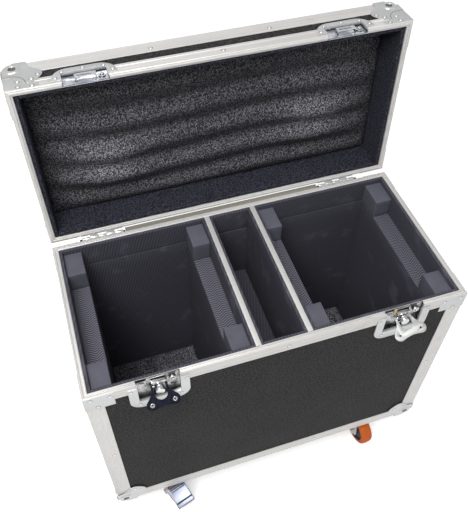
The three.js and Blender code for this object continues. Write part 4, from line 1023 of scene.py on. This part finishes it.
# Lid foam: a thick sheet of furry foam glued to the board, which has taken a set in five long
# waves and two swellings, with strips of the same foam on the four walls round it.
lid_board = 0.011
foam_back = lid_top - lid_board
foam_strip = 0.008
foam_half_x = 0.3643
foam_half_y = 0.1678
foam_base = 0.006
foam_edge = 0.007
wave_height = 0.012
wave_pitch = 0.062
wave_crest = 0.02
swell_height = 0.016
swell_spread = (0.085, 0.06)
painted_light_spread = (0.06, 0.05)
ripple_height = 0.0016
foam_pile = 0.0007
tuck_depth = 0.005
slope_step = 0.004
wall_strip_low = lid_rim_low + 0.002
wall_strip_soft = 0.0025
wall_strip_cell = 0.02
wall_strip_wander = 0.0006
swells = [(-0.226, 0.05), (0.213, 0.039)]


def swelling(x, y, spread):
    """How far the two swellings reach at x and y, from 0 to 1 at the top of each."""
    return sum(math.exp(-((x - sx) / spread[0]) ** 2 - ((y - sy) / spread[1]) ** 2) for sx, sy in swells)


def foam_rise(x, y):
    """How far the sheet stands off its board, with x and y from the middle of the lid."""
    edge_x = 1 - min(abs(x) / (foam_half_x - foam_edge), 1) ** 8
    edge_y = 1 - min(abs(y) / (foam_half_y - foam_edge), 1) ** 8
    bend = 0.01 * math.sin(x / 0.12) - 0.03 * x
    phase = (y - wave_crest + bend) / wave_pitch * math.tau
    rise = wave_height * (0.5 + 0.5 * math.cos(phase)) + swell_height * swelling(x, y, swell_spread)
    return foam_base + max(edge_x * edge_y, 0) * rise


mesh = bmesh.new()
bmesh.ops.create_grid(mesh, x_segments=260, y_segments=130, size=0.5)
half_x, half_y = foam_half_x - foam_strip, foam_half_y - foam_strip
for vert in mesh.verts:
    x, y = vert.co.x * 2 * half_x, vert.co.y * 2 * half_y
    spot = Vector((x, y, 0))
    ripple = ripple_height * noise.noise(Vector((x * 9, y * 26, 3)))
    pile = foam_pile * noise.fractal(spot * 210, 1, 2, 3)
    curl = 0.005 + 0.003 * noise.noise(Vector((x * 14, y * 14, 8)))
    tuck = tuck_depth * math.exp(-min(half_x - abs(x), half_y - abs(y)) / curl)
    vert.co = Vector((x, y + middle_y, foam_back - foam_rise(x, y) + tuck + ripple + pile))
skirted(mesh, foam_back)
painted_light = mesh.verts.layers.float.new("painted_light")
for vert in mesh.verts:
    x, y = vert.co.x, vert.co.y - middle_y
    # Painted light: the slopes that face the light and the two swellings are painted lighter.
    slope = (foam_rise(x, y + slope_step) - foam_rise(x, y - slope_step)) / (2 * slope_step)
    vert[painted_light] = min(max(0.04 + 0.42 * slope + swelling(x, y, painted_light_spread), 0), 1)
lid_sheet = smoothed(piece("lid_foam_sheet", placed(mesh, lid_open), furry, "lid", "fuzzy", "lid_foam"))

for name, low, high in (
    ("left", (-foam_half_x, -foam_half_y), (-half_x, foam_half_y)),
    ("right", (half_x, -foam_half_y), (foam_half_x, foam_half_y)),
    ("front", (-half_x, -foam_half_y), (half_x, -half_y)),
    ("back", (-half_x, half_y), (half_x, foam_half_y)),
):
    mesh = eased_block((low[0], low[1] + middle_y, wall_strip_low),
                       (high[0], high[1] + middle_y, foam_back), wall_strip_soft, 3)
    long_edges = [edge for edge in mesh.edges if edge.calc_length() > wall_strip_cell]
    bmesh.ops.subdivide_edges(mesh, edges=long_edges, cuts=40, use_grid_fill=True)
    for vert in mesh.verts:
        vert.co += wall_strip_wander * noise.noise_vector(vert.co * 60)
    strip = smoothed(piece("lid_foam_strip_" + name, placed(mesh, lid_open), furry_cool, "lid", "fuzzy"))


# Side handles: a pressed zinc dish let into each end wall, with a sprung drop bail of smoked
# steel that hangs flat in it.
for side in ("left", "right"):
    worked("handle_dish_" + side, zinc, "zinc", 0.0005)
    worked("handle_bail_" + side, smoked, "dark_zinc", 0.0009, 3)


# Floor: a plywood board in the base of the body, laminated black, with the zinc top plates of
# the casters bolted up through it.
plate_level = base_low - 0.0002


def floor_paint(at):
    steel = at.part(2) < plate_level
    speckle = at.grain(700, 3)
    board = (speckle * 0.7).blend(tone(40, 40, 42), tone(70, 70, 72))
    plate = speckle.blend(tone(186, 188, 192), tone(220, 221, 222))
    return {
        "Base Color": steel.blend(board, plate),
        "Metallic": steel * 0.95,
        "Roughness": 0.5 - steel * 0.24 + speckle * 0.1,
        "Normal": speckle.bump(0.00008, 0.5),
    }


worked("floor_panel", finish("floor_and_plates", floor_paint), "plywood", 0.0004)


# Casters: pressed forks and brake pedals in bright zinc, and a wheel with an orange
# polyurethane tread cast on a dark core. Each wheel is turned about its own axle.
def wheel_paint(at):
    fine = at.grain(500, 3)
    dust = at.grain(60, 4)
    return {
        "Base Color": (dust.between(0.5, 0.75) * 0.4).blend(tone(184, 86, 24), tone(158, 76, 32)),
        "Roughness": 0.5 + fine * 0.14,
        "Normal": fine.bump(0.0001, 0.4),
        "Specular IOR Level": 0.25,
    }


def pedal_paint(at):
    # Smeared from a dark tone to a light one as painted reflection and shade on the chrome.
    smear = at.grain(20, 3, Distortion=0.6)
    return {
        "Base Color": smear.between(0.36, 0.62).blend(tone(90, 96, 114), tone(144, 150, 166)),
        "Metallic": 0.8,
        "Roughness": 0.22 + smear * 0.1,
        "Normal": smear.bump(0.0003, 0.5),
    }


pedal_look = finish("pedal_chrome", pedal_paint)
tread = finish("orange_tread", wheel_paint)
core = finish("wheel_core", speckled(400, 3, ((28, 28, 30), (52, 52, 54)), 0, (0.5, 0.65), 0.0001))
wheel_radius = 0.04
wheel_half = 0.015
core_radius = 0.029
half_tread = [(core_radius, 0.0145), (0.0345, 0.0149), (0.0372, 0.0135), (0.0388, 0.0105), (0.0396, 0.006)]
half_core = [(0.0044, wheel_half), (0.0098, wheel_half), (0.0104, 0.0138), (0.0112, 0.0104),
             (0.0255, 0.0096), (0.0268, 0.0138), (0.0292, 0.0146)]
tread_profile = both_sides(half_tread, (wheel_radius, 0))
core_profile = both_sides(half_core)
rolls = {joint["child"]: joint for joint in frame["joints"] if joint["name"].startswith("caster_roll")}
for place in case_corners:
    wheel = "caster_wheel_" + place
    set_on = Matrix.Translation(rolls[wheel]["pos_m"]) @ turn_to(rolls[wheel]["axis"])
    for part, profile, look in (("tread", tread_profile, tread), ("core", core_profile, core)):
        replaced = [wheel] if part == "tread" else []
        mesh = placed(turned(profile), set_on)
        soften(piece(f"wheel_{part}_{place}", mesh, look, wheel, "tyre", *replaced), 0.0004)
    worked("caster_fork_" + place, zinc, "zinc", 0.0006, 3)
swivels = {joint["child"]: joint for joint in frame["joints"] if joint["name"].startswith("caster_swivel")}
pin_trail, pin_height = 0.026, 0.086
tread_slope = 0.13
pedal_strip_half = 0.0004
# Dark strips on the pedals: three narrow ones are painted shade in slots pressed across the tread, and the
# wide one near the tip is a painted dark reflection where the tread turns down.
pedal_shade_strips = [(trail, 0.002, 0.018) for trail in (0.049, 0.054, 0.059)] + [(0.088, 0.0042, 0.0205)]
for place in ("front_left", "rear_left"):
    worked("brake_pedal_" + place, pedal_look, "zinc", 0.0005, 3)
    along = Vector(rolls["caster_wheel_" + place]["axis"])
    ahead = Vector((along.y, -along.x, 0))
    slant = (ahead - Vector((0, 0, tread_slope))).normalized()
    pedal_frame = Matrix((along, slant, along.cross(slant))).transposed().to_4x4()
    mesh = bmesh.new()
    for trail, width, reach in pedal_shade_strips:
        centre = Vector(swivels["caster_fork_" + place]["pos_m"]) + ahead * trail
        centre.z = pin_height - (trail - pin_trail) * tread_slope
        line = block((-reach, -width / 2, -pedal_strip_half), (reach, width / 2, pedal_strip_half))
        grown(mesh, placed(line, Matrix.Translation(centre) @ pedal_frame))
    piece("pedal_shade_marks_" + place, mesh, groove, "brake_pedal_" + place, "zinc")


# Studio: a wide sheet of white paper under the case, in a white room, with three soft square
# lamps on stands: one at the front left, one above and a weak one at the front right.
scene = bpy.context.scene
scene.view_settings.view_transform = "Standard"


def paper_paint(at):
    """White paper, lifted a little where the camera sees it, so that only shadows show."""
    grain = at.grain(3)
    lift = at.node("LightPath", {}, {}).blend(tone(0, 0, 0), (0.4, 0.4, 0.4, 1))
    return {
        "Base Color": grain.blend(tone(249, 249, 249), tone(252, 252, 252)),
        "Roughness": 0.9,
        "Emission Color": lift,
        "Emission Strength": 1.0,
        "Specular IOR Level": 0.1,
    }


paper_half = 12
mesh = bmesh.new()
bmesh.ops.create_grid(mesh, x_segments=2, y_segments=2, size=paper_half)
data = bpy.data.meshes.new("paper_floor")
mesh.to_mesh(data)
mesh.free()
data.materials.append(finish("white_paper", paper_paint))
floor = bpy.data.objects.new("paper_floor", data)
scene.collection.objects.link(floor)

world = bpy.data.worlds.new("studio")
scene.world = world
world.use_nodes = True
tree = world.node_tree
background = tree.nodes["Background"]
background.inputs["Color"].default_value = (1, 1, 1, 1)
# White to the camera, dimmer in the metal's reflections and as light on the case
rays = tree.nodes.new("ShaderNodeLightPath")
seen = Field(tree, rays.outputs["Is Camera Ray"])
mirrored = Field(tree, rays.outputs["Is Glossy Ray"])
room_light = 0.42
room_in_metal = 0.55
strength = seen.math("MAXIMUM", seen, mirrored * room_in_metal + (1 - mirrored) * room_light)
tree.links.new(strength.socket, background.inputs["Strength"])


def lamp(name, power, size, place, aim):
    light = bpy.data.lights.new(name, "AREA")
    light.energy = power
    light.size = size
    made = bpy.data.objects.new(name, light)
    scene.collection.objects.link(made)
    made.location = place
    made.rotation_euler = (Vector(aim) - Vector(place)).to_track_quat("-Z", "Y").to_euler()


lamp("key_light", 50, 1.1, (-1.0, -1.3, 2.9), (0, 0, 0.5))
lamp("fill_light", 5, 2.0, (2.2, -1.4, 2.0), (0, 0, 0.4))
lamp("top_light", 36, 1.2, (-0.5, -0.5, 3.2), (0, 0, 0.5))
